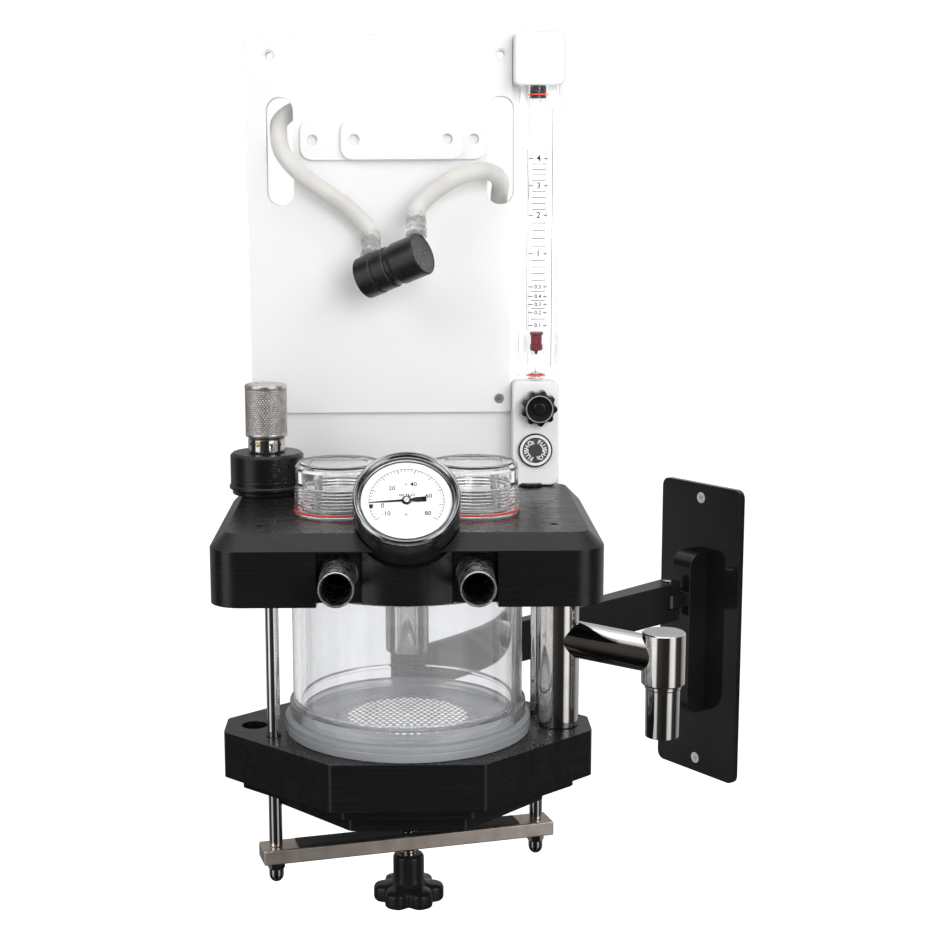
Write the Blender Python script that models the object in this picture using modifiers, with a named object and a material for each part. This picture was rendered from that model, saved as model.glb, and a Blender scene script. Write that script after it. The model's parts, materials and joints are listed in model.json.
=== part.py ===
"""Wall-mounted inhalation anaesthesia machine for small animals.

A clear absorber canister is clamped between a machined head block and a lower plate. The head carries
two check-valve domes, a pop-off valve, a tilted pressure gauge and two breathing ports. A white panel
behind it holds the flowmeter, the vaporizer bar and the fresh-gas hoses. The whole machine swivels on
a swing arm that is hinged to a wall plate.

The row frame has its origin at the centre of the wall plate's back face, +Z up and -Y to the front.
Lengths below are in millimetres, and MM turns them into Blender's metres.
"""

import math

import bmesh
import bpy
from mathutils import Matrix, Vector

MM = 0.001
GAP = 0.3  # clearance between pieces that touch or slide
FACETS = 32

# Wall plate, bracket and swing arm. Their frames face -Y and are turned about Z by these yaws.
WALL_YAW = math.radians(-55.0)
ARM_YAW = math.radians(-46.2)
WALL_WIDTH = 93.0
WALL_HEIGHT = 254.0
WALL_THICK = 5.0
WALL_SCREW_Z = 115.0
SLAB_WIDTH = 21.0
SLAB_DEPTH = 21.0
SLAB_HEIGHT = 140.0
PIVOT_STANDOFF = 41.0  # wall hinge axis in front of the plate's back face
ARM_LENGTH = 305.0  # between the two hinge axes
ARM_THICK = 20.0
ARM_HEIGHT = 32.0
ARM_RISE = 31.0  # arm centre above the wall plate's centre
TONGUE_THICK = 11.4
TONGUE_RADIUS = 9.0
FORK_GAP = 12.0
FORK_DEPTH = 13.0
PIN_RADIUS = 3.0
SHAFT_RADIUS = 8.0
ARM_EYE_RADIUS = 13.0

# Machine frame: origin on the canister's axis at the lower plate's top face.
PIVOT_Y = 100.0  # machine hinge axis behind the canister's axis
ARM_CENTRE_Z = 9.0
SLEEVE_RADIUS = 16.5

HEAD_HALF_WIDTH = 123.0
HEAD_FRONT = -80.0
HEAD_BACK = 117.0
HEAD_BOTTOM = 100.0
HEAD_TOP = 145.0
HEAD_CHAMFER = 9.7
HEAD_CORNER = 20.0

CANISTER_RADIUS = 76.2
CANISTER_WALL = 5.0
BASE_RING_RADIUS = 81.7
SCREEN_RADIUS = 47.5

PLATE_END_X = 122.0
PLATE_END_Y = 15.0
PLATE_FRONT_X = 48.7
PLATE_FRONT_Y = 84.0
PLATE_BOTTOM = -31.0
INSET_BOTTOMS = (-39.0, -49.5)

ROD_X = 88.0
ROD_Y = 24.0
ROD_RADIUS = 4.4
CROSSBAR_LENGTH = 202.0
CROSSBAR_DEPTH = 20.0
CROSSBAR_TOP = -75.5
CROSSBAR_BOTTOM = -85.5
SCREW_RADIUS = 5.0
KNOB_TOP = -112.5
KNOB_BOTTOM = -124.0

COLUMN_X = 100.8
COLUMN_RADIUS = 13.4
BAG_X = 167.5
BAG_Y = -20.0
BAG_ARM_RADIUS = 12.2
BAG_ARM_START_Z = 60.5
BAG_ARM_END_Z = 51.5
BAG_UPPER_RADIUS = 14.3
BAG_TOP = 68.0
BAG_STEP = 32.8
BAG_BOTTOM = -2.5
TAPER_RADIUS = 11.0  # 22 mm breathing connectors

PORT_X = 42.5
PORT_Z = 119.2
PORT_TIP_Y = -114.5
PORT_BASE_Y = -67.0
BOW_FRONT = -77.0  # the face between the ports
BOW_RADIUS = 56.0
BOW_HALF_WIDTH = 28.0

DOME_X = 44.0
DOME_RADIUS = 29.5
DOME_TOP = 179.0
SEAT_RADIUS = 24.0

APL_X = -97.0
APL_Y = 75.0
APL_RADIUS = 25.5
APL_SHOULDER = 173.7
APL_COLLAR_TOP = 184.0
APL_KNOB_TOP = 221.5
APL_KNOB_RADIUS = 14.6

GAUGE_Y = -76.9
GAUGE_Z = 169.2
GAUGE_TILT = math.radians(42.3)  # dial normal above the horizontal
GAUGE_RADIUS = 33.3
GAUGE_DEPTH = 31.0
ZERO_ANGLE = math.radians(184.0)  # pointer at 0, counter-clockwise from the dial's right

PANEL_LEFT = -109.8
PANEL_RIGHT = 110.0
PANEL_TOP = 458.5
PANEL_BOTTOM = 100.0
PANEL_BACK = 125.3
UPPER_PANEL_FRONT = 113.0
UPPER_PANEL_RIGHT = 74.8
UPPER_PANEL_BOTTOM = 196.0
SLOTS_X = ((-96.3, -77.5), (57.6, 76.4))
SLOT_Z = (342.5, 416.7)
CORNER_HOLES = ((-93.6, 445.0), (67.0, 445.0), (66.5, 205.3), (-93.6, 205.3))

BAR_X = (-72.6, 56.7)
RAIL_X = (-44.4, 40.9)
BAR_Z = (373.6, 401.2)
BAR_FRONT = 109.0
RAIL_FRONT = 105.0
BAR_HOLES = (-64.2, 48.1)
RAIL_HOLES = (-34.9, 29.7)

METER_X = (78.9, 106.1)
METER_Z = (222.0, 422.7)
METER_FRONT = 92.0
METER_AXIS_X = 92.0
METER_AXIS_Y = 104.5
METER_BORE = 7.0
METER_BLOCK_X = (75.3, 109.7)
METER_BLOCK_FRONT = 94.0
VALVE_BLOCK_X = (75.3, 107.2)
VALVE_BLOCK_Z = (145.8, 219.5)
VALVE_BLOCK_FRONT = 95.0
FLOW_KNOB = (93.0, 201.8)
FLUSH_BUTTON = (91.2, 171.0)

HOSE_RADIUS = 6.0
CONNECTOR_CENTRE = Vector((-8.1, 66.0, 302.1))
CONNECTOR_AXIS = Vector((0.816, -0.454, 0.358)).normalized()
CONNECTOR_RADIUS = 14.5
CONNECTOR_HALF = 24.7
STUB_ALONG = 19.0
STUB_LENGTH = 14.0
OUTLET_ELBOW = Vector((91.0, PANEL_BACK, 431.0))
INLET_ELBOW = Vector((67.0, PANEL_BACK, 122.0))

parts = bpy.data.collections.new("anaesthesia_machine")
cutters = bpy.data.collections.new("cutters")


# ---------------------------------------------------------------- helpers


def clear_scene():
    for thing in list(bpy.data.objects):
        bpy.data.objects.remove(thing, do_unlink=True)
    bpy.context.scene.collection.children.link(parts)
    bpy.context.scene.collection.children.link(cutters)


def material(name, colour, roughness, metallic=0.0, transmission=0.0):
    made = bpy.data.materials.new(name)
    made.use_nodes = True
    shader = made.node_tree.nodes["Principled BSDF"]
    shader.inputs["Base Color"].default_value = (*colour, 1.0)
    shader.inputs["Roughness"].default_value = roughness
    shader.inputs["Metallic"].default_value = metallic
    shader.inputs["Transmission Weight"].default_value = transmission
    return made


def empty(name, location, yaw=0.0, tilt=0.0, parent=None):
    made = bpy.data.objects.new(name, None)
    made.location = Vector(location) * MM
    made.rotation_euler = (tilt, 0.0, yaw)
    made.parent = parent
    parts.objects.link(made)
    return made


def place(name, mesh, finish, parent, location=(0, 0, 0), turn=None):
    """A new part from a mesh, or a cutter where no finish is given."""
    made = bpy.data.objects.new(name, mesh)
    made.matrix_local = Matrix.Translation(Vector(location) * MM) @ (turn or Matrix()).to_4x4()
    made.parent = parent
    if finish is None:
        made.hide_render = True
        made.display_type = "WIRE"
        cutters.objects.link(made)
    else:
        mesh.materials.append(finish)
        parts.objects.link(made)
    return made


def mesh_from(bm, name):
    bmesh.ops.recalc_face_normals(bm, faces=bm.faces)
    mesh = bpy.data.meshes.new(name)
    bm.to_mesh(mesh)
    bm.free()
    mesh.shade_smooth()
    mesh.set_sharp_from_angle(angle=math.radians(35))
    return mesh


def box(low, high, rounded="", radius=0.0, segments=4):
    """A box between two corners. The edges along the axes named in rounded get the radius."""
    bm = bmesh.new()
    low, high = Vector(low) * MM, Vector(high) * MM
    bmesh.ops.create_cube(bm, size=1.0)
    bmesh.ops.scale(bm, vec=high - low, verts=bm.verts)
    bmesh.ops.translate(bm, vec=(high + low) / 2, verts=bm.verts)
    for axis in rounded:
        unit = Vector([float(axis == letter) for letter in "XYZ"])
        edges = [e for e in bm.edges if abs((e.verts[0].co - e.verts[1].co).normalized().dot(unit)) > 0.99]
        bmesh.ops.bevel(bm, geom=edges, offset=radius * MM, segments=segments, affect="EDGES", profile=0.5)
    return mesh_from(bm, "box")


def cylinder(radius, depth, facets=FACETS, top_radius=None):
    """A cylinder or cone from z = 0 up to its depth."""
    bm = bmesh.new()
    top = radius if top_radius is None else top_radius
    bmesh.ops.create_cone(
        bm, cap_ends=True, segments=facets, radius1=radius * MM, radius2=top * MM, depth=depth * MM
    )
    bmesh.ops.translate(bm, vec=(0, 0, depth * MM / 2), verts=bm.verts)
    return mesh_from(bm, "cylinder")


def turned(name, profile, finish, parent, location=(0, 0, 0), turn=None, closed=False, facets=FACETS):
    """A turned piece. The (radius, z) profile runs down its outer side; a closed one goes right round."""
    mesh = bpy.data.meshes.new(name)
    count = len(profile)
    edges = [(i, (i + 1) % count) for i in range(count if closed else count - 1)]
    mesh.from_pydata([(r * MM, 0.0, z * MM) for r, z in profile], edges, [])
    made = place(name, mesh, finish, parent, location, turn)
    screw = made.modifiers.new("turn", "SCREW")
    screw.steps = screw.render_steps = facets
    screw.use_merge_vertices = True
    screw.merge_threshold = 1e-5
    screw.use_smooth_shade = True
    return made


def arc(centre, radius, start, end, steps):
    """Points on an arc in degrees, both ends included."""
    for i in range(steps + 1):
        angle = math.radians(start + (end - start) * i / steps)
        yield (centre[0] + radius * math.cos(angle), centre[1] + radius * math.sin(angle))


def rounded_outline(corners, radius, steps=6):
    """The outline through these corners with each corner rounded to the radius."""
    outline = []
    count = len(corners)
    for i, corner in enumerate(corners):
        here = Vector(corner)
        before = (Vector(corners[i - 1]) - here).normalized()
        after = (Vector(corners[(i + 1) % count]) - here).normalized()
        half = before.angle(after) / 2
        reach = radius / math.tan(half)
        centre = here + (before + after).normalized() * (radius / math.sin(half))
        first = here + before * reach - centre
        last = here + after * reach - centre
        sweep = first.angle_signed(last)
        for step in range(steps + 1):
            spin = Matrix.Rotation(-sweep * step / steps, 2)
            outline.append(tuple(centre + spin @ first))
    return outline


def plate(outline, bottom, top, holes=()):
    """A flat outline in X and Y, from bottom to top in Z, as a filled 2D curve made into a mesh."""
    curve = bpy.data.curves.new("outline", "CURVE")
    curve.dimensions = "2D"
    curve.fill_mode = "BOTH"
    curve.extrude = (top - bottom) / 2 * MM
    for points in (outline, *holes):
        spline = curve.splines.new("POLY")
        spline.points.add(len(points) - 1)
        for point, (x, y) in zip(spline.points, points):
            point.co = (x * MM, y * MM, 0.0, 1.0)
        spline.use_cyclic_u = True
    mesh = solid_of_curve(curve)
    mesh.transform(Matrix.Translation((0, 0, (top + bottom) / 2 * MM)))
    return mesh


def solid_of_curve(curve):
    """A curve's filled surface as a welded mesh. The curve is removed."""
    guide = bpy.data.objects.new("guide", curve)
    cutters.objects.link(guide)
    bpy.context.view_layer.update()
    mesh = bpy.data.meshes.new_from_object(guide.evaluated_get(bpy.context.evaluated_depsgraph_get()))
    bpy.data.objects.remove(guide, do_unlink=True)
    bpy.data.curves.remove(curve)
    bm = bmesh.new()
    bm.from_mesh(mesh)
    bmesh.ops.remove_doubles(bm, verts=bm.verts, dist=1e-6)
    bpy.data.meshes.remove(mesh)
    return mesh_from(bm, "outline")


def circle(x, y, radius, facets=16):
    return list(arc((x, y), radius, 0, 360 - 360 / facets, facets - 1))


def lobed(mean, swing, lobes, facets):
    """A round outline whose radius swings in and out, as on a star knob."""
    for i in range(facets):
        angle = math.tau * i / facets
        radius = mean + swing * math.cos(lobes * angle)
        yield (radius * math.cos(angle), radius * math.sin(angle))


def combine(target, tool, operation="DIFFERENCE"):
    boolean = target.modifiers.new(f"{operation.lower()} {tool.name}", "BOOLEAN")
    boolean.operation = operation
    boolean.object = tool
    return target


def bore(target, parent, location, radius, depth, turn=None, facets=FACETS):
    """Drills the target from the location along +Z of the turn."""
    tool = place(f"{target.name}_bore", cylinder(radius, depth, facets), None, parent, location, turn)
    return combine(target, tool)


def facing(direction):
    """The turn that takes +Z to a direction."""
    return Vector(direction).to_track_quat("Z", "Y").to_matrix()


def to_front(outline_mesh):
    """Turns a flat outline drawn in X and Y to stand up, with its Z pointing to the front (-Y)."""
    outline_mesh.transform(Matrix.Rotation(math.radians(90), 4, "X"))
    return outline_mesh


def smooth_route(points, spacing):
    """Evenly spaced points on a Catmull-Rom curve through the route's points."""
    route = [Vector(p) for p in points]
    ends = [2 * route[0] - route[1], *route, 2 * route[-1] - route[-2]]
    fine = []
    for a, b, c, d in zip(ends, ends[1:], ends[2:], ends[3:]):
        for step in range(20):
            t = step / 20
            fine.append(
                0.5 * (2 * b + (c - a) * t + (2 * a - 5 * b + 4 * c - d) * t**2 + (3 * b - a - 3 * c + d) * t**3)
            )
    fine.append(route[-1])
    run = [0.0]
    for before, after in zip(fine, fine[1:]):
        run.append(run[-1] + (after - before).length)
    count = round(run[-1] / spacing)
    even = []
    at = 0
    for i in range(count + 1):
        wanted = run[-1] * i / count
        while at < len(run) - 2 and run[at + 1] < wanted:
            at += 1
        share = (wanted - run[at]) / (run[at + 1] - run[at])
        even.append(fine[at].lerp(fine[at + 1], share))
    return even


def hose(name, route, finish, parent):
    curve = bpy.data.curves.new(name, "CURVE")
    curve.dimensions = "3D"
    curve.bevel_depth = HOSE_RADIUS * MM
    curve.bevel_resolution = 2
    curve.use_fill_caps = True
    points = smooth_route(route, HOSE_RADIUS * 2)
    spline = curve.splines.new("POLY")
    spline.points.add(len(points) - 1)
    for point, here in zip(spline.points, points):
        point.co = (*(here * MM), 1.0)
    return place(name, curve, finish, parent)


# ---------------------------------------------------------------- materials


def make_materials():
    return {
        "gloss_black": material("gloss_black", (0.012, 0.012, 0.013), 0.12),
        "black": material("black_machined", (0.02, 0.02, 0.022), 0.4),
        "black_gloss_plastic": material("black_gloss_plastic", (0.015, 0.015, 0.016), 0.2),
        "white": material("white_plastic", (0.88, 0.88, 0.89), 0.35),
        "chrome": material("chrome", (0.75, 0.74, 0.73), 0.08, 1.0),
        "steel": material("brushed_steel", (0.55, 0.53, 0.51), 0.3, 1.0),
        "clear": material("clear_acrylic", (0.95, 0.96, 0.97), 0.05, 0.0, 0.9),
        "red": material("red_float", (0.35, 0.01, 0.015), 0.3),
        "silicone": material("milky_silicone", (0.82, 0.82, 0.8), 0.4),
        "dial": material("dial_white", (0.9, 0.9, 0.9), 0.5),
        "pointer": material("pointer_black", (0.02, 0.02, 0.02), 0.4),
        "grey": material("grey_plastic", (0.3, 0.3, 0.31), 0.4),
        "brass": material("brass", (0.6, 0.45, 0.2), 0.25, 1.0),
    }


# ---------------------------------------------------------------- wall mount and swing arm


def make_wall_mount(frame, finish):
    half_width, half_height = WALL_WIDTH / 2, WALL_HEIGHT / 2
    corners = [(-half_width, -half_height), (half_width, -half_height), (half_width, half_height), (-half_width, half_height)]
    outline = rounded_outline(corners, 7.0, 4)
    wall_plate = place("wall_plate", to_front(plate(outline, 0.0, WALL_THICK)), finish["gloss_black"], frame)
    for name, z in (("wall_screw_top", WALL_SCREW_Z), ("wall_screw_bottom", -WALL_SCREW_Z)):
        forward = facing((0, -1, 0))
        sunk = [(0, 6.0), (5.6, 6.0), (2.6, 1.6), (2.6, -1.0), (0, -1.0)]
        combine(wall_plate, turned(f"{name}_sink", sunk, None, frame, (0, 0, z), forward, facets=24))
        head = [(0, 4.9), (4.2, 4.9), (2.2, 1.7), (2.2, 0.4), (0, 0.4)]
        turned(name, head, finish["steel"], frame, (0, 0, z), forward, facets=24)

    # A slab with rounded front corners, and a tongue that reaches out to the hinge axis.
    front = WALL_THICK + SLAB_DEPTH
    half = SLAB_HEIGHT / 2
    profile = [(-WALL_THICK - GAP, -half), (-front, -half), (-front, half), (-WALL_THICK - GAP, half)]
    rounds = rounded_outline([profile[3], profile[0], profile[1], profile[2]], 3.0, 1)
    rounds = [profile[3], profile[0], *arc((-front + 12, -half + 12), 12, 270, 180, 6)]
    rounds += list(arc((-front + 12, half - 12), 12, 180, 90, 6))
    slab = plate(rounds, -SLAB_WIDTH / 2, SLAB_WIDTH / 2)
    slab.transform(Matrix(((0, 0, 1, 0), (1, 0, 0, 0), (0, 1, 0, 0), (0, 0, 0, 1))))
    bracket = place("wall_bracket", slab, finish["gloss_black"], frame)
    tongue_low = ARM_RISE - TONGUE_THICK / 2
    shape = [(TONGUE_RADIUS, -front + 6), *arc((0, -PIVOT_STANDOFF), TONGUE_RADIUS, 0, -180, 10), (-TONGUE_RADIUS, -front + 6)]
    tongue = plate(shape, tongue_low, tongue_low + TONGUE_THICK)
    combine(bracket, place("bracket_tongue", tongue, None, frame), "UNION")
    bore(bracket, frame, (0, -PIVOT_STANDOFF, tongue_low - 2), PIN_RADIUS + GAP, TONGUE_THICK + 4, facets=24)


def make_swing_arm(frame, finish):
    """In the arm's frame the wall hinge is at the origin and the machine hinge at (0, -ARM_LENGTH)."""
    half = ARM_THICK / 2
    low, high = -ARM_HEIGHT / 2, ARM_HEIGHT / 2
    outline = list(arc((0, 0), half, 0, 180, 10))
    neck = math.degrees(math.asin(half / ARM_EYE_RADIUS))
    outline += list(arc((0, -ARM_LENGTH), ARM_EYE_RADIUS, 180 - neck - 30, 360 + neck + 30, 24))
    arm = place("swing_arm", plate(outline, low, high), finish["black"], frame)
    edges = arm.modifiers.new("softened edges", "BEVEL")
    edges.width = 0.8 * MM
    edges.segments = 1
    edges.limit_method = "ANGLE"
    edges.angle_limit = math.radians(60)
    slot = box((-half - 5, -FORK_DEPTH, -FORK_GAP / 2), (half + 5, half + 5, FORK_GAP / 2))
    combine(arm, place("fork_slot", slot, None, frame))
    bore(arm, frame, (0, 0, low - 5), PIN_RADIUS + GAP, ARM_HEIGHT + 10, facets=24)
    bore(arm, frame, (0, -ARM_LENGTH, low - 5), SHAFT_RADIUS + GAP, ARM_HEIGHT + 10, facets=24)
    cap = high + GAP
    pin = [(0, cap + 1.4), (3.4, cap + 1.4), (4.4, cap + 0.7), (4.4, cap), (PIN_RADIUS, cap)]
    pin += [(radius, -z) for radius, z in reversed(pin)]
    turned("wall_pivot_pin", pin, finish["steel"], frame, facets=24)
    top = HEAD_BOTTOM - ARM_CENTRE_Z - 6
    shaft = [(0, top), (SHAFT_RADIUS - 1, top), (SHAFT_RADIUS, top - 1), (SHAFT_RADIUS, low - GAP)]
    shaft += [(11.0, low - GAP), (11.0, low - 3.5), (10.0, low - 4.5), (0, low - 4.5)]
    turned("machine_pivot_shaft", shaft, finish["chrome"], frame, (0, -ARM_LENGTH, 0), facets=24)


# ---------------------------------------------------------------- absorber head


def gauge_turn():
    """Turns +Z to the dial's normal, with X kept to the right."""
    return Matrix.Rotation(math.radians(90) - GAUGE_TILT, 3, "X")


def make_head(frame, finish):
    left, right = -HEAD_HALF_WIDTH, HEAD_HALF_WIDTH
    corners = [(left, HEAD_FRONT), (right, HEAD_FRONT), (right, HEAD_BACK), (left, HEAD_BACK)]
    mesh = plate(rounded_outline(corners, HEAD_CORNER, 8), HEAD_BOTTOM, HEAD_TOP)
    bm = bmesh.new()
    bm.from_mesh(mesh)
    top = HEAD_TOP * MM
    rim = [
        e
        for e in bm.edges
        if all(abs(v.co.z - top) < 1e-6 for v in e.verts)
        and e.calc_face_angle(0.0) > math.radians(60)
    ]
    bmesh.ops.bevel(bm, geom=rim, offset=HEAD_CHAMFER * MM, segments=1, affect="EDGES")
    head = place("head_block", mesh_from(bm, "head_block"), finish["black"], frame)

    # Pockets round the ports leave a bowed face between them.
    sweep = math.degrees(math.asin(BOW_HALF_WIDTH / BOW_RADIUS))
    bow = list(arc((0, BOW_FRONT + BOW_RADIUS), BOW_RADIUS, -90 + sweep, -90 - sweep, 8))
    side = [(57.5, HEAD_FRONT - 9), (56.2, HEAD_FRONT), (55.8, -71), (55.2, PORT_BASE_Y), (29.2, PORT_BASE_Y)]
    outline = side + bow + [(-x, y) for x, y in reversed(side)]
    pocket = plate(outline, HEAD_BOTTOM - 5, HEAD_TOP - HEAD_CHAMFER - 0.8)
    combine(head, place("port_pocket", pocket, None, frame))

    turn = gauge_turn()
    depth = GAUGE_DEPTH + GAP
    seat = Vector((0, GAUGE_Y, GAUGE_Z)) - turn @ Vector((0, 0, depth))
    bore(head, frame, seat, GAUGE_RADIUS + 0.7, depth + 40, turn, facets=48)
    for side in (-1, 1):
        bore(head, frame, (side * DOME_X, 0, 127), SEAT_RADIUS + GAP, 40)
        bore(head, frame, (side * PORT_X, -15, PORT_Z), 8.6, 80, facing((0, -1, 0)), facets=24)
        bore(head, frame, (side * 93.0, -45.0, 131), 2.6, 30, facets=16)
    bore(head, frame, (APL_X, APL_Y, 122), 9.0, 40, facets=24)

    for name, side in (("breathing_port_left", -1), ("breathing_port_right", 1)):
        length = PORT_BASE_Y - GAP - PORT_TIP_Y
        rim_in = TAPER_RADIUS - 1.6
        profile = [(TAPER_RADIUS - 0.5, length), (TAPER_RADIUS - 0.1, length - 0.4)]
        profile += [(TAPER_RADIUS + 0.3, 5.5), (TAPER_RADIUS + 0.9, 4.5), (12.5, 4.0), (12.5, 0.0), (rim_in, 0.0)]
        profile += [(rim_in, length - 0.4), (rim_in + 0.4, length)]
        base = (side * PORT_X, PORT_BASE_Y - GAP, PORT_Z)
        turned(name, profile, finish["chrome"], frame, base, facing((0, -1, 0)), closed=True)


def make_check_valves(frame, finish):
    base = HEAD_TOP + GAP
    for name, side in (("left", -1), ("right", 1)):
        centre = (side * DOME_X, 0, 0)
        outer = [(DOME_RADIUS - 3.5, DOME_TOP), (DOME_RADIUS - 0.4, DOME_TOP - 2.6), (DOME_RADIUS - 0.4, 151)]
        outer += [(DOME_RADIUS + 0.6, 149.8), (DOME_RADIUS + 0.6, base)]
        inner = [(26.3, base), (26.3, 164), (25.2, 166), (25.2, 173.5), (23.5, 175), (0, 175)]
        turned(f"dome_{name}", [(0, DOME_TOP), *outer, *inner], finish["clear"], frame, centre)
        seat = [(SEAT_RADIUS - 1, 149), (SEAT_RADIUS, 148), (SEAT_RADIUS, 127 + GAP), (10.0, 127 + GAP)]
        seat += [(10.0, 150.5), (12.0, 150.5), (13.0, 145.0), (SEAT_RADIUS - 4, 145.0), (SEAT_RADIUS - 3, 149)]
        cage = turned(f"valve_seat_{name}", seat, finish["grey"], frame, centre, closed=True)
        for post in range(4):
            angle = math.radians(45 + 90 * post)
            spot = (side * DOME_X + 19.0 * math.cos(angle), 19.0 * math.sin(angle), 143)
            tool = place(f"cage_post_{name}_{post}", cylinder(1.4, 26, 12), None, frame, spot)
            combine(cage, tool, "UNION")
        disc = [(0, 153.2), (1.6, 153.2), (1.6, 151.9), (14.4, 151.9), (14.4, 150.5 + GAP), (0, 150.5 + GAP)]
        turned(f"valve_disc_{name}", disc, finish["black_gloss_plastic"], frame, centre, facets=24)


def make_gauge(frame, finish):
    """The gauge's pieces, along the dial's normal with z = 0 at the bezel's front."""
    turn = gauge_turn()
    at = (0, GAUGE_Y, GAUGE_Z)
    radius = GAUGE_RADIUS
    case = [(0, -6.9), (31.0, -6.9), (31.0, -4.6), (radius - 0.3, -4.6), (radius, -5.2)]
    case += [(radius, 2 - GAUGE_DEPTH), (radius - 2, -GAUGE_DEPTH), (0, -GAUGE_DEPTH)]
    turned("gauge_case", case, finish["black_gloss_plastic"], frame, at, turn, facets=48)
    bezel = [(radius - 1.0, 0), (radius, -0.9), (radius, -4.3), (30.8, -4.3), (30.8, -3.6)]
    bezel += [(29.0, -3.2), (31.2, -0.9), (31.9, 0)]
    turned("gauge_bezel", bezel, finish["steel"], frame, at, turn, closed=True, facets=48)
    lens = [(0, -1.6), (29.4, -1.6), (28.6, -2.6), (0, -2.6)]
    turned("gauge_lens", lens, finish["clear"], frame, at, turn, facets=48)
    turned("gauge_dial", [(0, -5.8), (30.6, -5.8), (30.6, -6.6), (0, -6.6)], finish["dial"], frame, at, turn, facets=48)
    outline = [(23.0, 0.3), (23.0, -0.3), (4, -0.7), (-4, -1.0), (-5.5, -1.6), (-12.2, -1.75)]
    outline += [(x, -y) for x, y in reversed(outline)]
    pointer = plate(list(reversed(outline)), -4.8, -4.3)
    pointer.transform(Matrix.Rotation(ZERO_ANGLE, 4, "Z"))
    needle = place("gauge_pointer", pointer, finish["pointer"], frame, at, turn)
    boss = turned("pointer_boss", [(0, -3.1), (2.2, -3.1), (2.6, -3.6), (2.6, -5.4), (0, -5.4)], None, frame, at, turn, facets=24)
    combine(needle, boss, "UNION")


def make_pop_off_valve(frame, finish):
    at = (APL_X, APL_Y, 0)
    base = HEAD_TOP + GAP
    lip = APL_RADIUS + 0.9
    body = [(14.0, APL_SHOULDER), (APL_RADIUS - 1.6, APL_SHOULDER - 0.4), (APL_RADIUS, APL_SHOULDER - 2.2)]
    body += [(APL_RADIUS, 151.5), (lip, 150.8), (lip, 149.2), (APL_RADIUS - 1.2, 148.4), (APL_RADIUS - 1.2, base)]
    body += [(9.5, base), (9.5, APL_SHOULDER - 3), (10.5, APL_SHOULDER)]
    turned("apl_body", body, finish["black"], frame, at, closed=True)
    low = APL_SHOULDER + GAP
    top = APL_COLLAR_TOP
    collar = [(12.0, top), (12.9, top - 0.8), (12.9, low + 0.8), (12.3, low), (4.3, low), (4.3, top)]
    turned("apl_collar", collar, finish["chrome"], frame, at, closed=True)
    stem = [(0, 207), (3.4, 207), (4.0, 206), (4.0, 152), (8.6, 152), (8.6, 149.5), (0, 149.5)]
    turned("apl_stem", stem, finish["steel"], frame, at, facets=24)
    low = APL_COLLAR_TOP + 0.6
    top = APL_KNOB_TOP
    knob = [(0, top), (APL_KNOB_RADIUS - 1.2, top), (APL_KNOB_RADIUS, top - 1.2), (APL_KNOB_RADIUS, low + 1)]
    knob += [(APL_KNOB_RADIUS - 1, low), (4.3, low), (4.3, 207.4), (0, 207.4)]
    turned("apl_knob", knob, finish["steel"], frame, at)


# ---------------------------------------------------------------- absorber, rods and clamp


def plate_outline(inset_x, inset_y, front_x):
    """The lower plates' long octagon, for a given inset of its ends and of its front and back."""
    end_x, front_y = PLATE_END_X - inset_x, PLATE_FRONT_Y - inset_y
    end_y = PLATE_END_Y * end_x / PLATE_END_X
    corners = [(end_x, -end_y), (end_x, end_y), (front_x, front_y), (-front_x, front_y)]
    corners += [(-end_x, end_y), (-end_x, -end_y), (-front_x, -front_y), (front_x, -front_y)]
    return rounded_outline(corners, 5.0, 3)


def make_absorber_base(frame, finish):
    lower = place("lower_plate", plate(plate_outline(0, 0, PLATE_FRONT_X), PLATE_BOTTOM, 0), finish["black"], frame)
    bore(lower, frame, (0, 0, -14), 44.0, 30)
    bore(lower, frame, (-COLUMN_X - 2, 0, -16), 8.6, 30, facets=24)
    for side in (-1, 1):
        bore(lower, frame, (side * ROD_X, side * ROD_Y, PLATE_BOTTOM - 5), ROD_RADIUS + 0.6, 50, facets=24)
    top = PLATE_BOTTOM - GAP
    insets = (("pressure_plate_upper", 12.0, 8.0, 41.0), ("pressure_plate_lower", 32.0, 16.0, 37.0))
    for (name, inset_x, inset_y, front_x), bottom in zip(insets, INSET_BOTTOMS):
        made = place(name, plate(plate_outline(inset_x, inset_y, front_x), bottom, top), finish["black"], frame)
        for side in (-1, 1):
            bore(made, frame, (side * ROD_X, side * ROD_Y, bottom - 5), ROD_RADIUS + 1.6, 30, facets=24)
        top = bottom - GAP

    inside = CANISTER_RADIUS - CANISTER_WALL
    rim = HEAD_BOTTOM - GAP
    profile = [(inside, rim), (CANISTER_RADIUS, rim), (CANISTER_RADIUS, 21), (78.6, 19.5), (78.6, 11)]
    profile += [(BASE_RING_RADIUS, 9.5), (BASE_RING_RADIUS, GAP), (SCREEN_RADIUS + 2, GAP), (SCREEN_RADIUS + 2, 3.0)]
    profile += [(SCREEN_RADIUS + GAP, 3.0), (SCREEN_RADIUS + GAP, 6.0), (inside, 6.0)]
    turned("canister", profile, finish["clear"], frame, closed=True, facets=48)
    screen = [(0, 7.2), (10, 7.1), (SCREEN_RADIUS - 8, 6.6), (SCREEN_RADIUS, 6.0), (SCREEN_RADIUS, 4.6)]
    screen += [(SCREEN_RADIUS - 8, 5.2), (10, 5.7), (0, 5.8)]
    turned("granule_screen", screen, finish["steel"], frame)


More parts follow.
